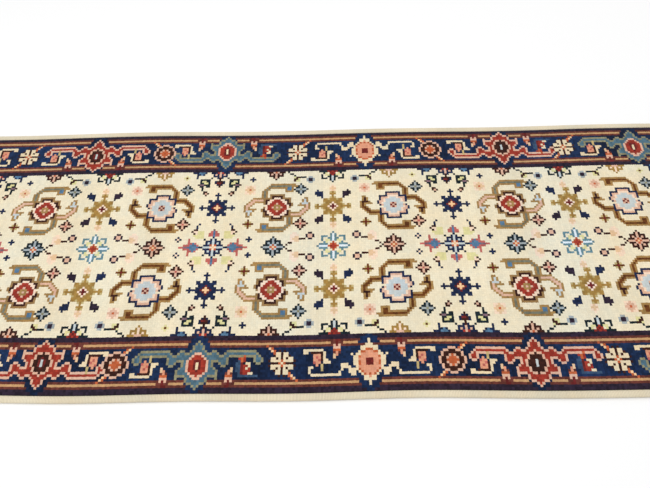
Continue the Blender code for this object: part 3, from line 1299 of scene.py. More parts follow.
@dataclass(frozen=True)
class NodeBench:
    """Makes the nodes of one material and joins them up."""

    tree: bpy.types.NodeTree

    def fill(self, node: bpy.types.Node, values: dict[str | int, object]) -> None:
        """Give a node its inputs.

        Args:
            node: The node.
            values: For each input, the socket that feeds it or its fixed value.
        """
        for name, value in values.items():
            if isinstance(value, bpy.types.NodeSocket):
                self.tree.links.new(value, node.inputs[name])
            else:
                node.inputs[name].default_value = value

    def add(
        self, kind: str, output: str, values: dict[str | int, object], **settings: str
    ) -> bpy.types.NodeSocket:
        """Make a node.

        Args:
            kind: What follows ShaderNode in its type.
            output: The output wanted.
            values: Its inputs, as `fill` takes them.
            **settings: Its own choices.

        Returns:
            The output's socket.
        """
        node = self.tree.nodes.new(f"ShaderNode{kind}")
        for name, setting in settings.items():
            setattr(node, name, setting)
        self.fill(node, values)
        return node.outputs[output]

    def noise(
        self, place: bpy.types.NodeSocket, scale: tuple[float, float, float], detail: float
    ) -> bpy.types.NodeSocket:
        """Noise stretched by a scale for each axis.

        Args:
            place: The coordinates.
            scale: Repeats per metre along x, y and z.
            detail: Octaves of finer noise.

        Returns:
            Its value.
        """
        stretched = self.add("Mapping", "Vector", {"Vector": place, "Scale": scale})
        return self.add("TexNoise", "Fac", {"Vector": stretched, "Scale": 1.0, "Detail": detail})

    def spread(self, value: bpy.types.NodeSocket, middle: float, reach: float) -> bpy.types.NodeSocket:
        """Spread the middle half of a noise to the reach on both sides of a middle value."""
        limits = {"From Min": 0.25, "From Max": 0.75, "To Min": middle - reach, "To Max": middle + reach}
        return self.add("MapRange", "Result", limits | {"Value": value})


@dataclass(frozen=True)
class YarnFinish:
    """A yarn's surface. Its colours come from the piece, and its fibres break them up.

    Attributes:
        name: The finish's name.
        roughness: How dull the fibres are.
        sheen: Strength of the soft bloom at a slant.
        fibres: Fibres per metre along x, y and z.
        fleck: How far single fibres are lighter or darker.
        heather: How far patches a few centimetres across are warmer or cooler.
        nap: Height of the fibres in metres.
        patches: Heathered patches per metre.
    """

    name: str
    roughness: float = 0.92
    sheen: float = 0.25
    fibres: tuple[float, float, float] = (1400.0, 1400.0, 500.0)
    fleck: float = 0.12
    heather: float = 0.03
    nap: float = 0.0005
    patches: float = 28.0

    def material(self) -> bpy.types.Material:
        """Make the material.

        Returns:
            Yarn colour times fine fibre flecks and broad heathering, with the flecks as bump.
        """
        material = bpy.data.materials.new(self.name)
        material.use_nodes = True
        bench = NodeBench(material.node_tree)
        yarn = bench.add("Attribute", "Color", {}, attribute_name="yarn")
        place = bench.add("TexCoord", "Object", {})
        flecks = bench.noise(place, self.fibres, 4.0)
        patches = bench.noise(place, (self.patches,) * 3, 2.0)
        light = bench.spread(flecks, 1.0, self.fleck)
        warm = bench.spread(patches, 1.0, self.heather)
        cool = bench.spread(patches, 1.0, -self.heather)
        tint = bench.add("CombineColor", "Color", {"Red": warm, "Green": 1.0, "Blue": cool})
        heathered = bench.add("VectorMath", "Vector", {0: yarn, 1: tint}, operation="MULTIPLY")
        flecked = bench.add("VectorMath", "Vector", {0: heathered, "Scale": light}, operation="SCALE")
        bump = bench.add("Bump", "Normal", {"Strength": 0.6, "Distance": self.nap, "Height": flecks})
        shading = {"Base Color": flecked, "Roughness": bench.spread(flecks, self.roughness, 0.06)}
        shading |= {"Sheen Weight": self.sheen, "Sheen Roughness": 0.5, "Specular IOR Level": 0.15}
        bench.fill(material.node_tree.nodes["Principled BSDF"], shading | {"Normal": bump})
        return material


PILE_WOOL = YarnFinish("pile wool", sheen=0.05, fleck=0.2, nap=0.0008)
BACK_WEAVE = YarnFinish("back of the knots", sheen=0.1, fibres=(600.0, 1800.0, 600.0), nap=0.0003)
EDGE_WOOL = YarnFinish("wound edge wool", fibres=(2400.0, 500.0, 800.0), fleck=0.10)
COTTON = YarnFinish("cotton yarn", roughness=0.85, sheen=0.15, fibres=(500.0, 1800.0, 1800.0), fleck=0.08)
WARP_COTTON = YarnFinish("edge cord cotton", roughness=0.85, sheen=0.1, fleck=0.08)

COTTON_COLOUR = linear(np.array([226, 214, 190]) / 255.0)
EDGE_COLOUR = linear(np.array([228, 215, 187]) / 255.0)

# The border's blue, where its lighter and its darker dyed lot lie.
LIGHT_LOT = linear(np.array([24, 46, 82]) / 255.0)
DARK_LOT = linear(np.array([13, 26, 50]) / 255.0)


def finish_piece(
    piece: bpy.types.Object, node: str, material: bpy.types.Material
) -> bpy.types.Object:
    """Fix a piece to the rug, name what it stands for and give it its material.

    Args:
        piece: The finished piece.
        node: The CAD node it replaces.
        material: Its material.

    Returns:
        The piece.
    """
    piece.data.materials.append(material)
    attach(piece, BODY)
    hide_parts(node)
    log.info("%s: %d faces, for %s", piece.name, len(piece.data.polygons), node)
    return piece


# --- pile


@dataclass
class Knots:
    """Every knot of the rug: its place, its height, its shading direction and its colour.

    Attributes:
        guard: Knots in a guard band.
        main: Knots in the main border.
        field_columns: Knots along the field.
        field_rows: Knots across the field.
        corner_drop: How far the gaps between four knots lie below their tips, in metres.
        column_drop: The same between neighbours along the rug.
        row_drop: The same between neighbours across it.
        edge_drop: How far the pile falls away at its outer edge.
        edge_reach: Over what width it does.
        unevenness: How far single points, and lines of knots, stand higher or lower.
        roll: How far the surface rises and falls slowly along the rug, and across it.
        looseness: How far a point strays sideways, as a share of a knot.
        own_shade: How far each knot is lighter or darker.
        dark_shade: How much more the darkest knots are.
        line_shade: The same for each line of knots across the rug.
        slow_shade: How far the shade wanders slowly along the rug, and across it.
        warmth: How far it wanders between warm and cool along it, across it, and by knot.
    """

    guard: int = 5
    main: int = 13
    field_columns: int = 409
    field_rows: int = 83
    corner_drop: float = 0.0010
    column_drop: float = 0.0006
    row_drop: float = 0.0003
    edge_drop: float = 0.0022
    edge_reach: float = 0.006
    unevenness: Point = (0.00015, 0.0002)
    roll: Point = (0.0003, 0.0002)
    looseness: float = 0.09
    own_shade: float = 0.03
    dark_shade: float = 0.5
    line_shade: float = 0.02
    slow_shade: Point = (0.03, 0.02)
    warmth: tuple[float, float, float] = (0.02, 0.015, 0.012)
    x_lines: np.ndarray = field(init=False)
    y_lines: np.ndarray = field(init=False)
    top: np.ndarray = field(init=False)
    normals: np.ndarray = field(init=False)
    colours: np.ndarray = field(init=False)

    def __post_init__(self) -> None:
        """Read the bands' places from the frame, then set out and colour the knots."""
        self.x_lines = self.lines(0, self.field_columns)
        self.y_lines = self.lines(1, self.field_rows)
        cartoon = Cartoon(len(self.x_lines) - 1, len(self.y_lines) - 1, self.guard, self.main)
        cartoon.draw()
        self.colours = self.coloured(cartoon.dyes)
        self.top = self.tips()
        across, along = np.gradient(self.top, axis=(0, 1))
        upward = np.cross(along, across)
        self.normals = upward / np.linalg.norm(upward, axis=-1, keepdims=True)

    def lines(self, axis: int, field_knots: int) -> np.ndarray:
        """Where one knot ends and the next begins, along one axis.

        The boundary of two bands lies halfway across the gap between them, and the knots of
        a band share its width equally.

        Args:
            axis: 0 along the rug, 1 across it.
            field_knots: Knots of the field that way.

        Returns:
            The places, from the lowest to the highest.
        """
        names = ("outer_guard_pile", "main_border_pile", "inner_guard_pile", "field_pile")
        outer, main, inner, middle = (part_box(name)[0][axis] for name in names)
        half_gap = BAND_GAP / 2
        stops = [outer, main - half_gap, inner - half_gap, middle - half_gap]
        counts = [self.guard, self.main, self.guard]
        low = [np.linspace(a, b, n, endpoint=False) for a, b, n in zip(stops, stops[1:], counts)]
        low = np.concatenate(low)
        across = np.linspace(stops[-1], -stops[-1], field_knots + 1)
        return np.concatenate([low, across, -low[::-1]])

    def coloured(self, dyes: np.ndarray) -> np.ndarray:
        """Linear colour of every knot.

        Each knot takes its dye a little lighter or darker, dark dyes the most, as does each
        line of knots across the rug. The border's blue shifts in slow bars, where one dyed lot
        follows another, and the whole rug wanders slightly between warm and cool.

        Args:
            dyes: The cartoon.

        Returns:
            Rows by columns by three.
        """
        rows, columns = dyes.shape
        colours = dye_table()[dyes]
        x = (self.x_lines[1:] + self.x_lines[:-1]) / 2
        y = (self.y_lines[1:] + self.y_lines[:-1]) / 2
        lots = np.clip(drift(x, 21, 0.12, 0.5)[None, :] + 0.5 * drift(y, 22, 0.08, 0.3)[:, None], -1, 1)
        blue = dyes == Dye.BORDER_BLUE
        lot_colour = DARK_LOT + (LIGHT_LOT - DARK_LOT) * (0.5 + 0.5 * lots[..., None])
        colours = np.where(blue[..., None], lot_colour, colours)
        depth = (1 - np.sqrt(colours.mean(axis=-1))) ** 2
        shade = 1 + (self.own_shade + self.dark_shade * depth) * noise(23, rows, columns)
        shade = shade + self.line_shade * noise(24, columns)
        along, across = self.slow_shade
        shade = shade + along * drift(x, 25, 0.1, 0.6) + across * drift(y, 26, 0.1, 0.4)[:, None]
        along, across, own = self.warmth
        warmth = along * drift(x, 27, 0.15, 0.7)[None, :] + across * drift(y, 28, 0.1, 0.4)[:, None]
        warmth = warmth + own * noise(29, rows, columns)
        tint = np.stack([1 + warmth, np.ones_like(warmth), 1 - 1.5 * warmth], axis=-1)
        return np.clip(colours * shade[..., None] * tint, 0.002, 1.0)

    def tips(self) -> np.ndarray:
        """Points of the pile's surface, three along and three across for each knot.

        A knot is highest in its middle. It drops towards its neighbours and furthest at its
        corners. Each knot and each line of knots across the rug stands a little higher or
        lower, the whole surface rolls slowly, and it falls away as a parabola at the edge.

        Returns:
            Twice the rows and one, by twice the columns and one, by three.
        """
        x, y = (
            np.interp(np.arange(2 * len(line) - 1) / 2, np.arange(len(line)), line)
            for line in (self.x_lines, self.y_lines)
        )
        shape = (len(y), len(x))
        grid_x, grid_y = np.meshgrid(x, y)
        inside = np.minimum(
            np.minimum(grid_x - x[0], x[-1] - grid_x), np.minimum(grid_y - y[0], y[-1] - grid_y)
        )
        between_columns = (np.arange(shape[1]) % 2 == 0)[None, :]
        between_rows = (np.arange(shape[0]) % 2 == 0)[:, None]
        drop = self.column_drop * between_columns + self.row_drop * between_rows
        drop = np.where(between_columns & between_rows, self.corner_drop, drop)
        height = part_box("field_pile")[1][2] - drop
        point, line = self.unevenness
        height = height + point * noise(31, *shape) + line * noise(32, shape[1])[None, :]
        along, across = self.roll
        height = height + along * drift(x, 33, 0.1, 0.6)[None, :] + across * drift(y, 34, 0.1, 0.4)[:, None]
        near_edge = np.clip(1 - inside / self.edge_reach, 0.0, 1.0)
        height = height - self.edge_drop * near_edge**2
        loose = (inside > 1e-6) * self.looseness
        step_x, step_y = np.gradient(x)[None, :] * 2, np.gradient(y)[:, None] * 2
        grid_x = grid_x + loose * step_x * noise(35, *shape)
        grid_y = grid_y + loose * step_y * noise(36, *shape)
        return np.stack([grid_x, grid_y, height], axis=-1)


@dataclass(frozen=True)
class Block:
    """A rectangle of knots: first and last row and column, the last ones not included."""

    row0: int
    row1: int
    column0: int
    column1: int

    @property
    def length(self) -> int:
        """Knots along its longer side."""
        return max(self.row1 - self.row0, self.column1 - self.column0)

    @property
    def upright(self) -> bool:
        """Whether its longer side runs across the rug."""
        return self.row1 - self.row0 > self.column1 - self.column0


@dataclass
class PilePiece:
    """One band or part of the pile, made of blocks of knots.

    Attributes:
        name: The piece's name.
        node: The CAD node it stands for.
        slot: Its material slot; not used.
        blocks: Its blocks.
        shelves: How often its colour map is folded.
    """

    name: str
    node: str
    slot: str
    blocks: list[Block]
    shelves: int

    def build(self, knots: Knots, lay: Lay) -> bpy.types.Object:
        """Make the piece: for each block a top of tufts, four sides and a flat underside.

        Args:
            knots: The rug's knots.
            lay: How the rug lies.

        Returns:
            The piece.
        """
        form = Form()
        total = sum(block.length for block in self.blocks)
        start = 0
        for number, block in enumerate(self.blocks):
            self.add_block(form, knots, block, start / total, total, number)
            start += block.length
        return form.build(self.name, lay)

    def add_block(
        self, form: Form, knots: Knots, block: Block, start: float, total: int, number: int
    ) -> None:
        """Add one closed block of knots.

        Args:
            form: The piece being gathered.
            knots: The rug's knots.
            block: Which knots.
            start: Share of the folded strip that earlier blocks take.
            total: Length of that strip in knots.
            number: The block's place in the piece.
        """
        rows = slice(2 * block.row0, 2 * block.row1 + 1)
        columns = slice(2 * block.column0, 2 * block.column1 + 1)
        top = knots.top[rows, columns]
        base = top[::2, ::2].copy()
        base[..., 2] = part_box(self.node)[0][2]
        top_numbers, base_numbers = form.add_points(top), form.add_points(base)
        row_share, column_share = np.meshgrid(
            np.linspace(0, 1, top.shape[0]), np.linspace(0, 1, top.shape[1]), indexing="ij"
        )
        along, across = (row_share, column_share) if block.upright else (column_share, row_share)
        along = start + along * block.length / total
        colours = knots.colours[block.row0 : block.row1, block.column0 : block.column1]
        # the knots' colours with a painted highlight at each tip and painted shade in the gaps
        tufts = self.paint_tuft_gap_shade(colours)
        top_region = Region(0.0, 0.8, self.shelves, shelf_margin=0.03)
        places = top_region.fold(grid_values(along), grid_values(across))
        normals = grid_values(knots.normals[rows, columns])
        form.add_faces(grid_quads(top_numbers), places, tufts, normals=normals)
        base_region = Region(0.81, 0.92, self.shelves)
        places = base_region.fold(grid_values(along[::2, ::2]), grid_values(across[::2, ::2]))
        # the underside takes the knots' colours darkened to 0.7 as painted shade
        form.add_faces(grid_quads(base_numbers)[:, ::-1], places[:, ::-1], colours.reshape(-1, 3) * 0.7)
        self.add_sides(form, top_numbers, base_numbers, colours, number)

    @staticmethod
    def paint_tuft_gap_shade(colours: np.ndarray) -> np.ndarray:
        """Colour of each corner of the four quads of every knot.

        Painted shade: a tuft is lightest at its tip, in its middle, and darker in the gaps round it.

        Args:
            colours: Knot colours, rows by columns by three.

        Returns:
            Quad by corner by three, the quads in the order of the fine grid.
        """
        fine = colours.repeat(2, axis=0).repeat(2, axis=1)
        row, column = np.mgrid[0 : fine.shape[0], 0 : fine.shape[1]]
        corners = []
        for up, right in ((0, 0), (0, 1), (1, 1), (1, 0)):
            tip = ((row + up) % 2 == 1) & ((column + right) % 2 == 1)
            gap = ((row + up) % 2 == 0) & ((column + right) % 2 == 0)
            # painted highlight at each tuft's tip, painted shade in the gaps round it
            shade = np.where(tip, 1.03, np.where(gap, 0.94, 0.985))
            corners.append((fine * shade[..., None]).reshape(-1, 3))
        return np.stack(corners, axis=1)

    def add_sides(
        self, form: Form, top: np.ndarray, base: np.ndarray, colours: np.ndarray, number: int
    ) -> None:
        """Close a block's four sides with five-cornered faces, one for each knot, painted darker as shade.

        Args:
            form: The piece being gathered.
            top: Point numbers of the block's top.
            base: Those of its underside, one for every second of the top's.
            colours: Its knots' colours.
            number: The block's place in the piece.
        """
        lines = [
            (top[0], base[0], colours[0]),
            (top[:, -1], base[:, -1], colours[:, -1]),
            (top[-1, ::-1], base[-1, ::-1], colours[-1, ::-1]),
            (top[::-1, 0], base[::-1, 0], colours[::-1, 0]),
        ]
        region = Region(0.93, 1.0, 4 * len(self.blocks), shelf_margin=0.1)
        for side, (high, low, yarn) in enumerate(lines):
            faces = np.stack([low[:-1], low[1:], high[2::2], high[1::2], high[:-2:2]], axis=1)
            step = np.linspace(0.0, 1.0, len(low))
            half = (step[1:] + step[:-1]) / 2
            along = np.stack([step[:-1], step[1:], step[1:], half, step[:-1]], axis=1)
            along = (4 * number + side + 0.002 + 0.996 * along) / (4 * len(self.blocks))
            across = np.broadcast_to([0.0, 0.0, 1.0, 1.0, 1.0], along.shape)
            # the sides take the knots' colours darkened to 0.85 as painted shade
            form.add_faces(faces, region.fold(along, across), yarn * 0.85, smooth=False)


@dataclass
class Pile:
    """All the pile: two halves of the field and three bands round it."""

    knots: Knots
    lay: Lay
    pieces: list[bpy.types.Object] = field(default_factory=list)

    def ring(self, outside: int, depth: int) -> list[Block]:
        """Four blocks that make a band round the rug.

        Args:
            outside: Knots between the rug's edge and the band.
            depth: Knots in the band's depth.

        Returns:
            The near and far blocks, whole, and the end ones between them.
        """
        rows, columns = self.knots.colours.shape[:2]
        inner = outside + depth
        return [
            Block(outside, inner, outside, columns - outside),
            Block(rows - inner, rows - outside, outside, columns - outside),
            Block(inner, rows - inner, outside, inner),
            Block(inner, rows - inner, columns - inner, columns - outside),
        ]

    def build(self) -> None:
        """Build and dress every piece of the pile."""
        knots = self.knots
        rows, columns = knots.colours.shape[:2]
        border = 2 * knots.guard + knots.main
        middle = rows // 2
        material = PILE_WOOL.material()
        near = [Block(border, middle, border, columns - border)]
        far = [Block(middle, rows - border, border, columns - border)]
        outer, main = self.ring(0, knots.guard), self.ring(knots.guard, knots.main)
        inner = self.ring(knots.guard + knots.main, knots.guard)
        plans = [
            PilePiece("field_near", "field_pile", "field_wool", near, 3),
            PilePiece("field_far", "field_pile", "field_wool", far, 3),
            PilePiece("inner_guard", "inner_guard_pile", "guard_wool", inner, 13),
            PilePiece("main_border", "main_border_pile", "border_wool", main, 8),
            PilePiece("outer_guard", "outer_guard_pile", "guard_wool", outer, 14),
        ]
        for plan in plans:
            piece = plan.build(knots, self.lay)
            self.pieces.append(finish_piece(piece, plan.node, material))


@dataclass
class Foundation:
    """The woven ground under the pile, whose back shows the knots in their rows.

    Attributes:
        knots: The rug's knots.
        lay: How the rug lies.
        ridge: How far a line of knots stands out on the back, in metres.
    """

    knots: Knots
    lay: Lay
    ridge: float = 0.0004

    def build(self) -> list[bpy.types.Object]:
        """Build and dress the near and far half.

        Returns:
            Both pieces.
        """
        rows = self.knots.colours.shape[0]
        material = BACK_WEAVE.material()
        halves = {"foundation_near": (0, rows // 2), "foundation_far": (rows // 2, rows)}
        pieces = []
        for name, (first, last) in halves.items():
            piece = self.build_half(name, first, last)
            pieces.append(finish_piece(piece, "foundation_weave", material))
        return pieces

    def build_half(self, name: str, first: int, last: int) -> bpy.types.Object:
        """One half: a ribbed back of half knots, a flat top and the rim between them.

        Across each line of knots the back is lowest in the middle and rises to the weft on
        both sides of it.

        Args:
            name: The piece's name.
            first: Its first row of knots.
            last: The row after its last.

        Returns:
            The piece.
        """
        form = Form()
        low, high = (corner[2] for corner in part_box("foundation_weave"))
        x = self.knots.top[0, :, 0].copy()
        x[1::2] = (x[:-1:2] + x[2::2]) / 2
        y = self.knots.y_lines[first : last + 1]
        grid_x, grid_y = np.meshgrid(x, y)
        between = np.arange(len(x)) % 2 == 0
        depth = low + self.ridge * between + 0.0001 * (noise(41, *grid_x.shape) + 1)
        back = form.add_points(np.stack([grid_x, grid_y, depth], axis=-1))
        ends = grid_y[[0, -1]]
        front = form.add_points(np.stack([grid_x[[0, -1]], ends, np.full(ends.shape, high)], axis=-1))
        along, across = np.meshgrid(np.linspace(0, 1, len(x)), np.linspace(0, 1, len(y)))
        yarn = self.knots.colours[first:last].repeat(2, axis=1) * 0.8 + COTTON_COLOUR * 0.12
        weft = np.broadcast_to(COTTON_COLOUR, yarn.shape) * 0.5 + yarn * 0.4
        left_weft = np.arange(yarn.shape[1]) % 2 == 0
        left = np.where(left_weft[:, None], weft, yarn)
        right = np.where(left_weft[:, None], yarn, weft)
        corners = np.stack([c.reshape(-1, 3) for c in (left, right, right, left)], axis=1)
        region = Region(0.0, 0.9, 4, shelf_margin=0.02)
        places = region.fold(grid_values(along), grid_values(across))
        form.add_faces(grid_quads(back)[:, ::-1], places[:, ::-1], corners[:, ::-1])
        form.add_strip(front[0], front[1], Region(0.91, 0.95), COTTON_COLOUR)
        form.add_strip(back[0], front[0], Region(0.955, 0.965), COTTON_COLOUR)
        form.add_strip(back[-1, ::-1], front[1, ::-1], Region(0.97, 0.98), COTTON_COLOUR)
        for side, line in enumerate((back[::-1, 0], back[:, -1])):
            tops = front[:, 0] if side == 0 else front[::-1, -1]
            face = np.concatenate([line, tops])[None, :]
            spread = np.concatenate([np.linspace(0, 1, len(line)), [1.0, 0.0]])[None, :]
            lift = np.concatenate([np.zeros(len(line)), [1.0, 1.0]])[None, :]
            rim = Region(0.982 + 0.008 * side, 0.988 + 0.008 * side)
            form.add_faces(face, rim.fold(spread, lift), COTTON_COLOUR, smooth=False)
        return form.build(name, self.lay)


# --- long edges


@dataclass
class LongEdge:
    """One long edge: three twisted cotton cords wound together in cream wool.

    Attributes:
        side: Near or far.
        lay: How the rug lies.
        pitch: Width of one turn of the winding.
        rib: How far a turn stands out.
        sides: Points round the winding.
        rings_per_turn: Rings of points for each turn.
        wall: Thickness of the winding.
        squareness: Power that flattens the ring's sides: 1 is an ellipse, less is squarer.
        lining_rings: Rings of points inside the winding.
        cord_twist: Length of one turn of a cord's plies.
        cord_sides: Points round a cord.
        cord_rings: Rings of points along it.
    """

    side: Side
    lay: Lay
    pitch: float = 0.0030
    rib: float = 0.00035
    sides: int = 18
    rings_per_turn: int = 4
    wall: float = 0.0012
    squareness: float = 0.7
    lining_rings: int = 80
    cord_twist: float = 0.022
    cord_sides: int = 12
    cord_rings: int = 420

    def build(self) -> list[bpy.types.Object]:
        """Build and dress the winding and its cords.

        Returns:
            The pieces.
        """
        side = self.side.value
        node = f"edge_overcast_{side}"
        winding = self.build_winding(node, f"winding_{side}")
        pieces = [finish_piece(winding, node, EDGE_WOOL.material())]
        cotton = WARP_COTTON.material()
        for number in (1, 2, 3):
            node = f"edge_cord_{side}_{number}"
            cord = self.build_cord(node, f"core_cord_{side}_{number}")
            pieces.append(finish_piece(cord, node, cotton))
        return pieces

    def build_winding(self, node: str, name: str) -> bpy.types.Object:
        """The winding: a flattened ring carried along the edge, ridged by a helix.

        The ring is a rounded rectangle: cosine and sine to a power below 1, their signs kept.
        It swells by the cosine of the distance in turns less the share of the way round, so
        each ridge winds round the edge once in a turn's width. Turns differ a little in
        width and fullness.

        Args:
            node: The CAD node it stands for.
            name: The piece's name.

        Returns:
            The piece.
        """
        low, high = (np.array(corner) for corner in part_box(node))
        middle, half = (low + high) / 2, (high - low) / 2
        turns = round((high[0] - low[0]) / self.pitch)
        rings = turns * self.rings_per_turn + 1
        x = np.linspace(low[0], high[0], rings)
        turn = np.linspace(0, 2 * pi, self.sides, endpoint=False)
        phase = turns * np.linspace(0, 1, rings) + 0.35 * drift(x, 51, 0.05, 0.4)
        fullness = np.interp(phase, np.arange(-2, turns + 3), 1 + 0.35 * noise(52, turns + 5))
        swell = np.cos(2 * pi * (phase[:, None] - turn / (2 * pi)))
        bound = 0.5 + 0.5 * swell
        thick = -self.rib * (1 - bound) * fullness[:, None] - 0.00008 * (1 + noise(53, rings, self.sides))
        outer = self.ring_shape(half[1:] + thick[..., None], turn)
        centres = np.stack([x, np.full(rings, middle[1]), np.full(rings, middle[2])], axis=-1)
        # painted shade: the winding is darker in the grooves between its turns; the small changes from ring
        # to ring and along the edge are the wool's own tone
        shade = (0.72 + 0.30 * bound**0.7) * (1 + 0.04 * noise(54, rings, 1))
        shade = shade * (1 + 0.04 * drift(x, 55, 0.08, 0.5))[:, None]
        form = Form()
        tube = Strands(centres[None], outer[None], self.sides)
        numbers = tube.add_to(form, Region(0.0, 0.9, 8), EDGE_COLOUR * shade[None, ..., None], sealed=False)
        picked = np.linspace(0, rings - 1, self.lining_rings).round().astype(int)
        hollow = np.broadcast_to(half[1:] - self.wall, (len(picked), self.sides, 2))
        bore = self.ring_shape(hollow, turn)
        lining = Strands(centres[picked][None], bore[None], self.sides)
        inner = form.add_points(lining.points)[0]
        self.close_tube(form, numbers[0], inner)
        return form.build(name, self.lay)

    def ring_shape(self, half: np.ndarray, turn: np.ndarray) -> np.ndarray:
        """Factors that turn a circle into the flattened ring, times its half width and height.

        Args:
            half: Half width and half height at each side of each ring.
            turn: Angle of each side.

        Returns:
            The factors, arranged as `half` is.
        """
        factors = []
        for axis, reach in enumerate((np.abs(np.cos(turn)), np.abs(np.sin(turn)))):
            factor = reach**self.squareness / np.maximum(reach, 1e-9)
            factors.append(half[..., axis] * np.where(reach < 1e-6, 0.0, factor))
        return np.stack(factors, axis=-1)

    @staticmethod
    def close_tube(form: Form, outer: np.ndarray, inner: np.ndarray) -> None:
        """Add the lining, facing inwards, and the ring at each end that joins it to the outside.

        Args:
            form: The piece being gathered.
            outer: Point numbers of the winding, ring by side.
            inner: Those of the lining.
        """
        inner_round = np.concatenate([inner, inner[:, :1]], axis=1)
        along, across = np.meshgrid(
            np.linspace(0, 1, inner_round.shape[0]), np.linspace(0, 1, inner_round.shape[1]), indexing="ij"
        )
        places = Region(0.91, 0.95).fold(grid_values(along), grid_values(across))
        # the lining is darkened to 0.6 as painted shade inside the tube
        form.add_faces(grid_quads(inner_round)[:, ::-1], places[:, ::-1], EDGE_COLOUR * 0.6)
        for end, band in ((0, 0.955), (-1, 0.975)):
            rim = np.stack([np.append(ring[end], ring[end][0]) for ring in (outer, inner)])
            steps, level = np.meshgrid(np.linspace(0, 1, rim.shape[1]), [0.0, 1.0])
            faces = grid_quads(rim)
            spots = Region(band, band + 0.015).fold(grid_values(steps), grid_values(level))
            if end == 0:
                faces, spots = faces[:, ::-1], spots[:, ::-1]
            # the end rings are darkened to 0.9 as painted shade
            form.add_faces(faces, spots, EDGE_COLOUR * 0.9, smooth=False)

    def build_cord(self, node: str, name: str) -> bpy.types.Object:
        """A cord of three plies: a ring with three soft lobes that turns as it goes along.

        Args:
            node: The CAD node it stands for.
            name: The piece's name.

        Returns:
            The piece.
        """
        low, high = (np.array(corner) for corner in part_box(node))
        middle, radius = (low + high) / 2, (high[2] - low[2]) / 2
        sides, rings = self.cord_sides, self.cord_rings
        x = np.linspace(low[0], high[0], rings)
        turn = np.linspace(0, 2 * pi, sides, endpoint=False)
        lobes = np.abs(np.cos(1.5 * (turn - 2 * pi * x[:, None] / self.cord_twist)))
        centres = np.stack([x, np.full(rings, middle[1]), np.full(rings, middle[2])], axis=-1)
        section = np.repeat((radius * (0.86 + 0.14 * lobes))[..., None], 2, axis=-1)
        form = Form()
        # painted shade: the cord is darker in the grooves between its plies
        shade = (0.75 + 0.25 * lobes)[None, ..., None] * COTTON_COLOUR
        Strands(centres[None], section[None], sides).add_to(form, Region(0.0, 0.95, 8), shade)
        return form.build(name, self.lay)


# --- ends


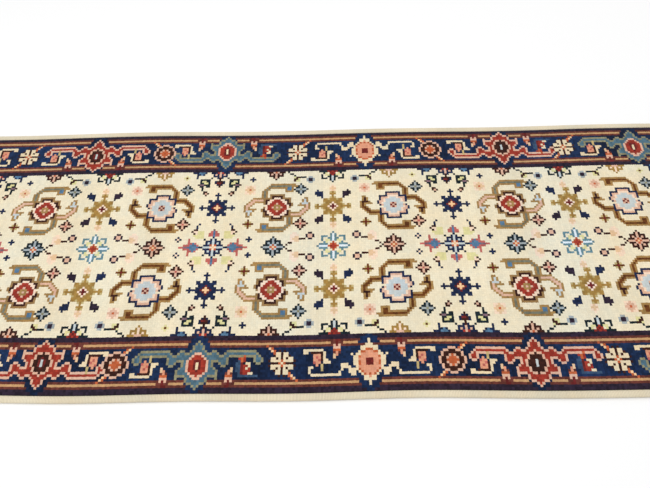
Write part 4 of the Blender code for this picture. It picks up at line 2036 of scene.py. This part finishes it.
@dataclass
class RugEnd:
    """One end: a flat-woven web, a chain twined across it and a knotted fringe.

    Attributes:
        side: Left or right.
        lay: How the rug lies.
        warps: Warp ridges across the web.
        wefts: Weft lines along it.
        tassels: Tassels in the fringe.
        strands: Yarns in each tassel.
        strand_radius: Half a yarn's thickness.
        heading: Length of fringe from the chain to its knots.
        side_margin: From the rug's edge to the middle of the first tassel.
        chain_turns: Turns of the two yarns along the chain.
    """

    side: Side
    lay: Lay
    warps: int = 243
    wefts: int = 11
    tassels: int = 63
    strands: int = 6
    strand_radius: float = 0.00065
    heading: float = 0.006
    side_margin: float = 0.0075
    chain_turns: int = 92

    @property
    def outward(self) -> float:
        """1 at the right end, -1 at the left."""
        return 1.0 if self.side is Side.RIGHT else -1.0

    def build(self) -> list[bpy.types.Object]:
        """Build and dress the web, the chain and the fringe.

        Returns:
            The pieces.
        """
        cotton = COTTON.material()
        makers = {
            "end_web": (self.build_web, "kilim_web", "web_cotton"),
            "end_chain": (self.build_chain, "twined_chain", "chain_cotton"),
            "fringe": (self.build_fringe, "knotted_fringe", "fringe_cotton"),
        }
        pieces = []
        for stem, (maker, name, slot) in makers.items():
            node = f"{stem}_{self.side.value}"
            pieces.append(finish_piece(maker(node, f"{name}_{self.side.value}"), node, cotton))
        return pieces

    def build_web(self, node: str, name: str) -> bpy.types.Object:
        """The web: a closed slab whose two faces ripple as plain weave.

        A face's height is the product of a cosine along the warps and one along the wefts,
        so that a ridge on one yarn lies beside a hollow on the next.

        Args:
            node: The CAD node it stands for.
            name: The piece's name.

        Returns:
            The piece.
        """
        low, high = (np.array(corner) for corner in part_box(node))
        x = np.linspace(low[0], high[0], 2 * self.wefts + 1)
        y = np.linspace(low[1], high[1], 2 * self.warps + 1)
        across, along = np.meshgrid(x, y)
        weft, warp = np.meshgrid(np.arange(len(x)), np.arange(len(y)))
        over = np.cos(pi * weft) * np.cos(pi * warp / 2)
        ripple = 0.00025 * (over - 1) + 0.00006 * noise(61, *over.shape)
        top = np.stack([across, along, high[2] + ripple], axis=-1)
        back = np.stack([across, along, low[2] + 0.0001 - ripple], axis=-1)
        form = Form()
        upper, lower = form.add_points(top), form.add_points(back)
        share_y = (along - low[1]) / (high[1] - low[1])
        share_x = (across - low[0]) / (high[0] - low[0])
        # painted shade: darker in the weave's hollows; the small change from warp to warp is the cotton's
        # own tone
        shade = (0.9 + 0.1 * over)[..., None] * COTTON_COLOUR * (1 + 0.04 * noise(62, len(y), 1, 1))
        halves = ((upper, Region(0, 0.48, 6), 1), (lower, Region(0.5, 0.95, 6), -1))
        for numbers, region, turn in halves:
            places = region.fold(grid_values(share_y), grid_values(share_x))[:, ::turn]
            form.add_faces(grid_quads(numbers)[:, ::turn], places, grid_values(shade)[:, ::turn])
        onward, backward = slice(None), slice(None, None, -1)
        sides = ((0, onward), (onward, -1), (-1, backward), (backward, 0))
        for number, side in enumerate(sides):
            region = Region(0.955 + 0.01 * number, 0.963 + 0.01 * number)
            # the slab's sides are darkened to 0.85 as painted shade
            form.add_strip(lower[side], upper[side], region, COTTON_COLOUR * 0.85)
        return form.build(name, self.lay)

    def build_chain(self, node: str, name: str) -> bpy.types.Object:
        """The chain: two yarns twined round each other, as two helices half a turn apart.

        Args:
            node: The CAD node it stands for.
            name: The piece's name.

        Returns:
            The piece.
        """
        low, high = (np.array(corner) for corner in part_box(node))
        middle, radius = (low + high) / 2, (high[2] - low[2]) / 2
        rings_per_turn, sides = 10, 8
        share = np.linspace(0.0, 1.0, self.chain_turns * rings_per_turn + 1)
        angle = 2 * pi * self.chain_turns * share + np.array([[0.0], [pi]])
        yarn_radius = radius * 0.52
        swing = radius - yarn_radius
        y = low[1] + yarn_radius + share * (high[1] - low[1] - 2 * yarn_radius)
        x, z = middle[0] + swing * np.cos(angle), middle[2] + swing * np.sin(angle)
        centres = np.stack([x, np.broadcast_to(y, angle.shape), z], axis=-1)
        turn = np.linspace(0, 2 * pi, sides, endpoint=False)
        plies = np.abs(np.cos(turn - angle[..., None] * 2.5))
        section = np.repeat((yarn_radius * (0.92 + 0.08 * plies))[..., None], 2, axis=-1)
        # painted shade: each yarn is darker in the grooves between its plies
        shade = (0.82 + 0.18 * plies)[..., None] * COTTON_COLOUR
        form = Form()
        Strands(centres, section, sides).add_to(form, Region(0.0, 1.0, 8), shade)
        return form.build(name, self.lay)

    def build_fringe(self, node: str, name: str) -> bpy.types.Object:
        """The fringe: warps gathered six by six into a knot, then hanging loose beyond it.

        Args:
            node: The CAD node it stands for.
            name: The piece's name.

        Returns:
            The piece.
        """
        low, high = (np.array(corner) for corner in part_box(node))
        start = low[0] if self.outward > 0 else high[0]
        places = np.linspace(low[1] + self.side_margin, high[1] - self.side_margin, self.tassels)
        form = Form()
        self.add_yarns(form, start, places, high[0] - low[0], high[2])
        self.add_knots(form, start, places)
        return form.build(name, self.lay)

    def add_yarns(
        self, form: Form, start: float, places: np.ndarray, length: float, height: float
    ) -> None:
        """Add every yarn of the fringe.

        A yarn leaves the chain at its own place, runs in to the knot along a smooth curve,
        and leaves it at a small angle of its own with one slow bend. Its height falls from
        the knot's to the floor.

        Args:
            form: The piece being gathered.
            start: Where the fringe meets the chain.
            places: The tassels' places across the rug.
            length: The fringe's length.
            height: Its thickness.
        """
        count, rings, sides = len(places) * self.strands, 12, 6
        seed = 71 if self.outward > 0 else 72
        rank = np.tile(np.arange(self.strands), len(places))
        spread = (rank - (self.strands - 1) / 2) / self.strands
        tassel = np.repeat(places, self.strands)
        swing = np.repeat(0.03 * noise(seed, len(places)), self.strands) + 0.05 * noise(seed + 10, count)
        reach = length - self.strand_radius - 0.003 * (1 + noise(seed + 20, count))
        share = np.concatenate([np.linspace(0, self.heading, 4) / length, np.linspace(0.17, 1.0, rings - 4)])
        out = share[None, :] * reach[:, None]
        before = np.clip(1 - out / self.heading, 0.0, 1.0)
        after = np.clip(out - self.heading, 0.0, None)
        bend = 0.0012 * np.sin(2 * pi * after / length + pi * noise(seed + 30, count)[:, None])
        y = tassel[:, None] + 0.011 * spread[:, None] * before**2 + 0.0022 * spread[:, None]
        y = y + (0.10 * spread + swing)[:, None] * after + bend * after / length
        layer = np.where(rank % 2 == 0, self.strand_radius, height - 1.4 * self.strand_radius)
        settle = np.clip(after / (0.5 * length), 0.0, 1.0)
        z = layer[:, None] * (1 - settle) + self.strand_radius * 1.05 * settle
        z = z + 0.0007 * settle * (rank % 3 == 0)[:, None]
        x = start + self.outward * (out + 0.0002)
        y = np.clip(y, -self.lay.half_width + 0.003, self.lay.half_width - 0.003)
        centres = np.stack([x, y, z], axis=-1)
        taper = np.interp(share, [0.0, 0.9, 1.0], [1.0, 0.95, 0.6])
        radius = np.broadcast_to(self.strand_radius * taper[:, None, None], (count, rings, sides, 2))
        turn = np.arange(sides) / sides
        # painted shade: darker in the grooves of each yarn's twist; the tone from yarn to yarn is the
        # cotton's own
        twist = 0.9 + 0.1 * np.cos(2 * pi * (2 * turn + 14 * share[:, None]))
        tone = 1 + 0.06 * noise(seed + 40, count)
        shade = (tone[:, None, None] * twist[None])[..., None] * COTTON_COLOUR
        Strands(centres, radius, sides).add_to(form, Region(0.0, 0.8, 24), shade)

    def add_knots(self, form: Form, start: float, places: np.ndarray) -> None:
        """Add the knots: small barrels, fullest in the middle and pinched at both ends.

        Args:
            form: The piece being gathered.
            start: Where the fringe meets the chain.
            places: The tassels' places across the rug.
        """
        rings, sides = 6, 10
        share = np.linspace(0.0, 1.0, rings)
        bulge = np.sin(pi * (0.12 + 0.76 * share))
        seed = 91 if self.outward > 0 else 92
        size = 1 + 0.1 * noise(seed, len(places))
        x = start + self.outward * (self.heading - 0.0022 + 0.0052 * share)
        centres = np.stack(np.broadcast_arrays(x[None, :], places[:, None], 0.0015), axis=-1)
        turn = np.arange(sides) / sides
        fold = 0.93 + 0.07 * np.cos(2 * pi * (2 * turn - 1.5 * share[:, None]))
        shape = bulge[:, None] * fold
        radius = size[:, None, None] * shape[None]
        section = np.stack([radius * 0.0025, np.minimum(radius, 1.0) * 0.00148], axis=-1)
        # painted shade: darker where the knot pinches at its ends and in its folds
        shade = (0.78 + 0.22 * fold * bulge[:, None])[None, ..., None] * COTTON_COLOUR
        shade = np.broadcast_to(shade, (len(places), rings, sides, 3))
        Strands(centres, section, sides).add_to(form, Region(0.82, 1.0, 3), shade)


# --- studio


@dataclass(frozen=True)
class Studio:
    """The plain studio: a pale floor, soft light from above and the camera.

    Attributes:
        eye: The camera's place.
        yaw: Degrees that it turns from looking along +y, clockwise from above.
        pitch: Degrees that it looks down.
        roll: Degrees that it tilts.
        lens: Focal length in millimetres on a sensor 36 mm wide.
        floor_reach: Half the floor's side.
        floor_drop: How far it lies under the rug.
        surround: Strength of the even light from all round.
    """

    eye: tuple[float, float, float] = (0.0112, -0.8978, 1.3223)
    yaw: float = -1.97
    pitch: float = 55.49
    roll: float = -2.50
    lens: float = 37.16
    floor_reach: float = 12.0
    floor_drop: float = 0.0005
    surround: float = 0.66

    def build(self) -> None:
        """Set up the floor, the lights, the view and the camera."""
        self.add_floor()
        self.add_lights()
        self.add_camera()
        scene = bpy.context.scene
        scene.view_settings.view_transform = "Standard"
        scene.view_settings.look = "None"

    def add_floor(self) -> None:
        """A large pale floor just under the rug."""
        mesh = bpy.data.meshes.new("studio_floor")
        turns = ((-1, -1), (1, -1), (1, 1), (-1, 1))
        corners = [(x * self.floor_reach, y * self.floor_reach, -self.floor_drop) for x, y in turns]
        mesh.from_pydata(corners, [], [(0, 1, 2, 3)])
        floor = bpy.data.objects.new("studio_floor", mesh)
        bpy.context.scene.collection.objects.link(floor)
        material = bpy.data.materials.new("studio white")
        material.use_nodes = True
        paint = {"Base Color": (0.93, 0.93, 0.93, 1.0), "Roughness": 0.95, "Specular IOR Level": 0.1}
        NodeBench(material.node_tree).fill(material.node_tree.nodes["Principled BSDF"], paint)
        mesh.materials.append(material)

    def add_lights(self) -> None:
        """Two broad soft lamps above the rug and an even pale surround."""
        lamps = {
            "key": ((-1.4, -0.6, 3.2), 3.0, 52.0),
            "fill": ((1.8, 1.2, 3.0), 3.5, 28.0),
        }
        for name, (place, size, power) in lamps.items():
            light = bpy.data.lights.new(name, "AREA")
            light.shape = "DISK"
            light.size = size
            light.energy = power
            lamp = bpy.data.objects.new(name, light)
            lamp.location = place
            lamp.rotation_euler = (-Vector(place)).to_track_quat("-Z", "Y").to_euler()
            bpy.context.scene.collection.objects.link(lamp)
        world = bpy.data.worlds.new("surround")
        world.use_nodes = True
        pale = {"Color": (1.0, 1.0, 1.0, 1.0), "Strength": self.surround}
        NodeBench(world.node_tree).fill(world.node_tree.nodes["Background"], pale)
        bpy.context.scene.world = world

    def add_camera(self) -> None:
        """The camera, from its place, turn, downward look and tilt."""
        yaw, pitch, roll = radians(self.yaw), radians(self.pitch), radians(self.roll)
        forward = np.array([sin(yaw) * cos(pitch), cos(yaw) * cos(pitch), -sin(pitch)])
        right = np.array([cos(yaw), -sin(yaw), 0.0])
        up = np.cross(right, forward)
        tilted_right = cos(roll) * right + sin(roll) * up
        tilted_up = cos(roll) * up - sin(roll) * right
        data = bpy.data.cameras.new("camera")
        data.lens = self.lens
        data.sensor_width = 36.0
        data.clip_end = 50.0
        camera = bpy.data.objects.new("camera", data)
        turn = Matrix(np.column_stack([tilted_right, tilted_up, -forward]).tolist()).to_4x4()
        camera.matrix_world = Matrix.Translation(self.eye) @ turn
        bpy.context.scene.collection.objects.link(camera)
        bpy.context.scene.camera = camera


def write_sizes() -> None:
    """Bring the view layer up to date."""
    bpy.context.view_layer.update()


def main() -> None:
    """Build the rug piece by piece, then the studio."""
    logging.basicConfig(level=logging.INFO, format="%(name)s: %(message)s")
    if BODY not in frame["bodies"]:
        raise SystemExit(f"the frame has no body called {BODY}")
    half_width = float(CAD_BOX[1][1])
    lay = Lay(half_width)
    knots = Knots()
    pile = Pile(knots, lay)
    pile.build()
    ground = Foundation(knots, lay).build()
    trims = [piece for side in (Side.NEAR, Side.FAR) for piece in LongEdge(side, lay).build()]
    trims += [piece for side in (Side.LEFT, Side.RIGHT) for piece in RugEnd(side, lay).build()]
    pile.pieces + trims
    Studio().build()
    write_sizes()


if __name__ == "__main__":
    main()
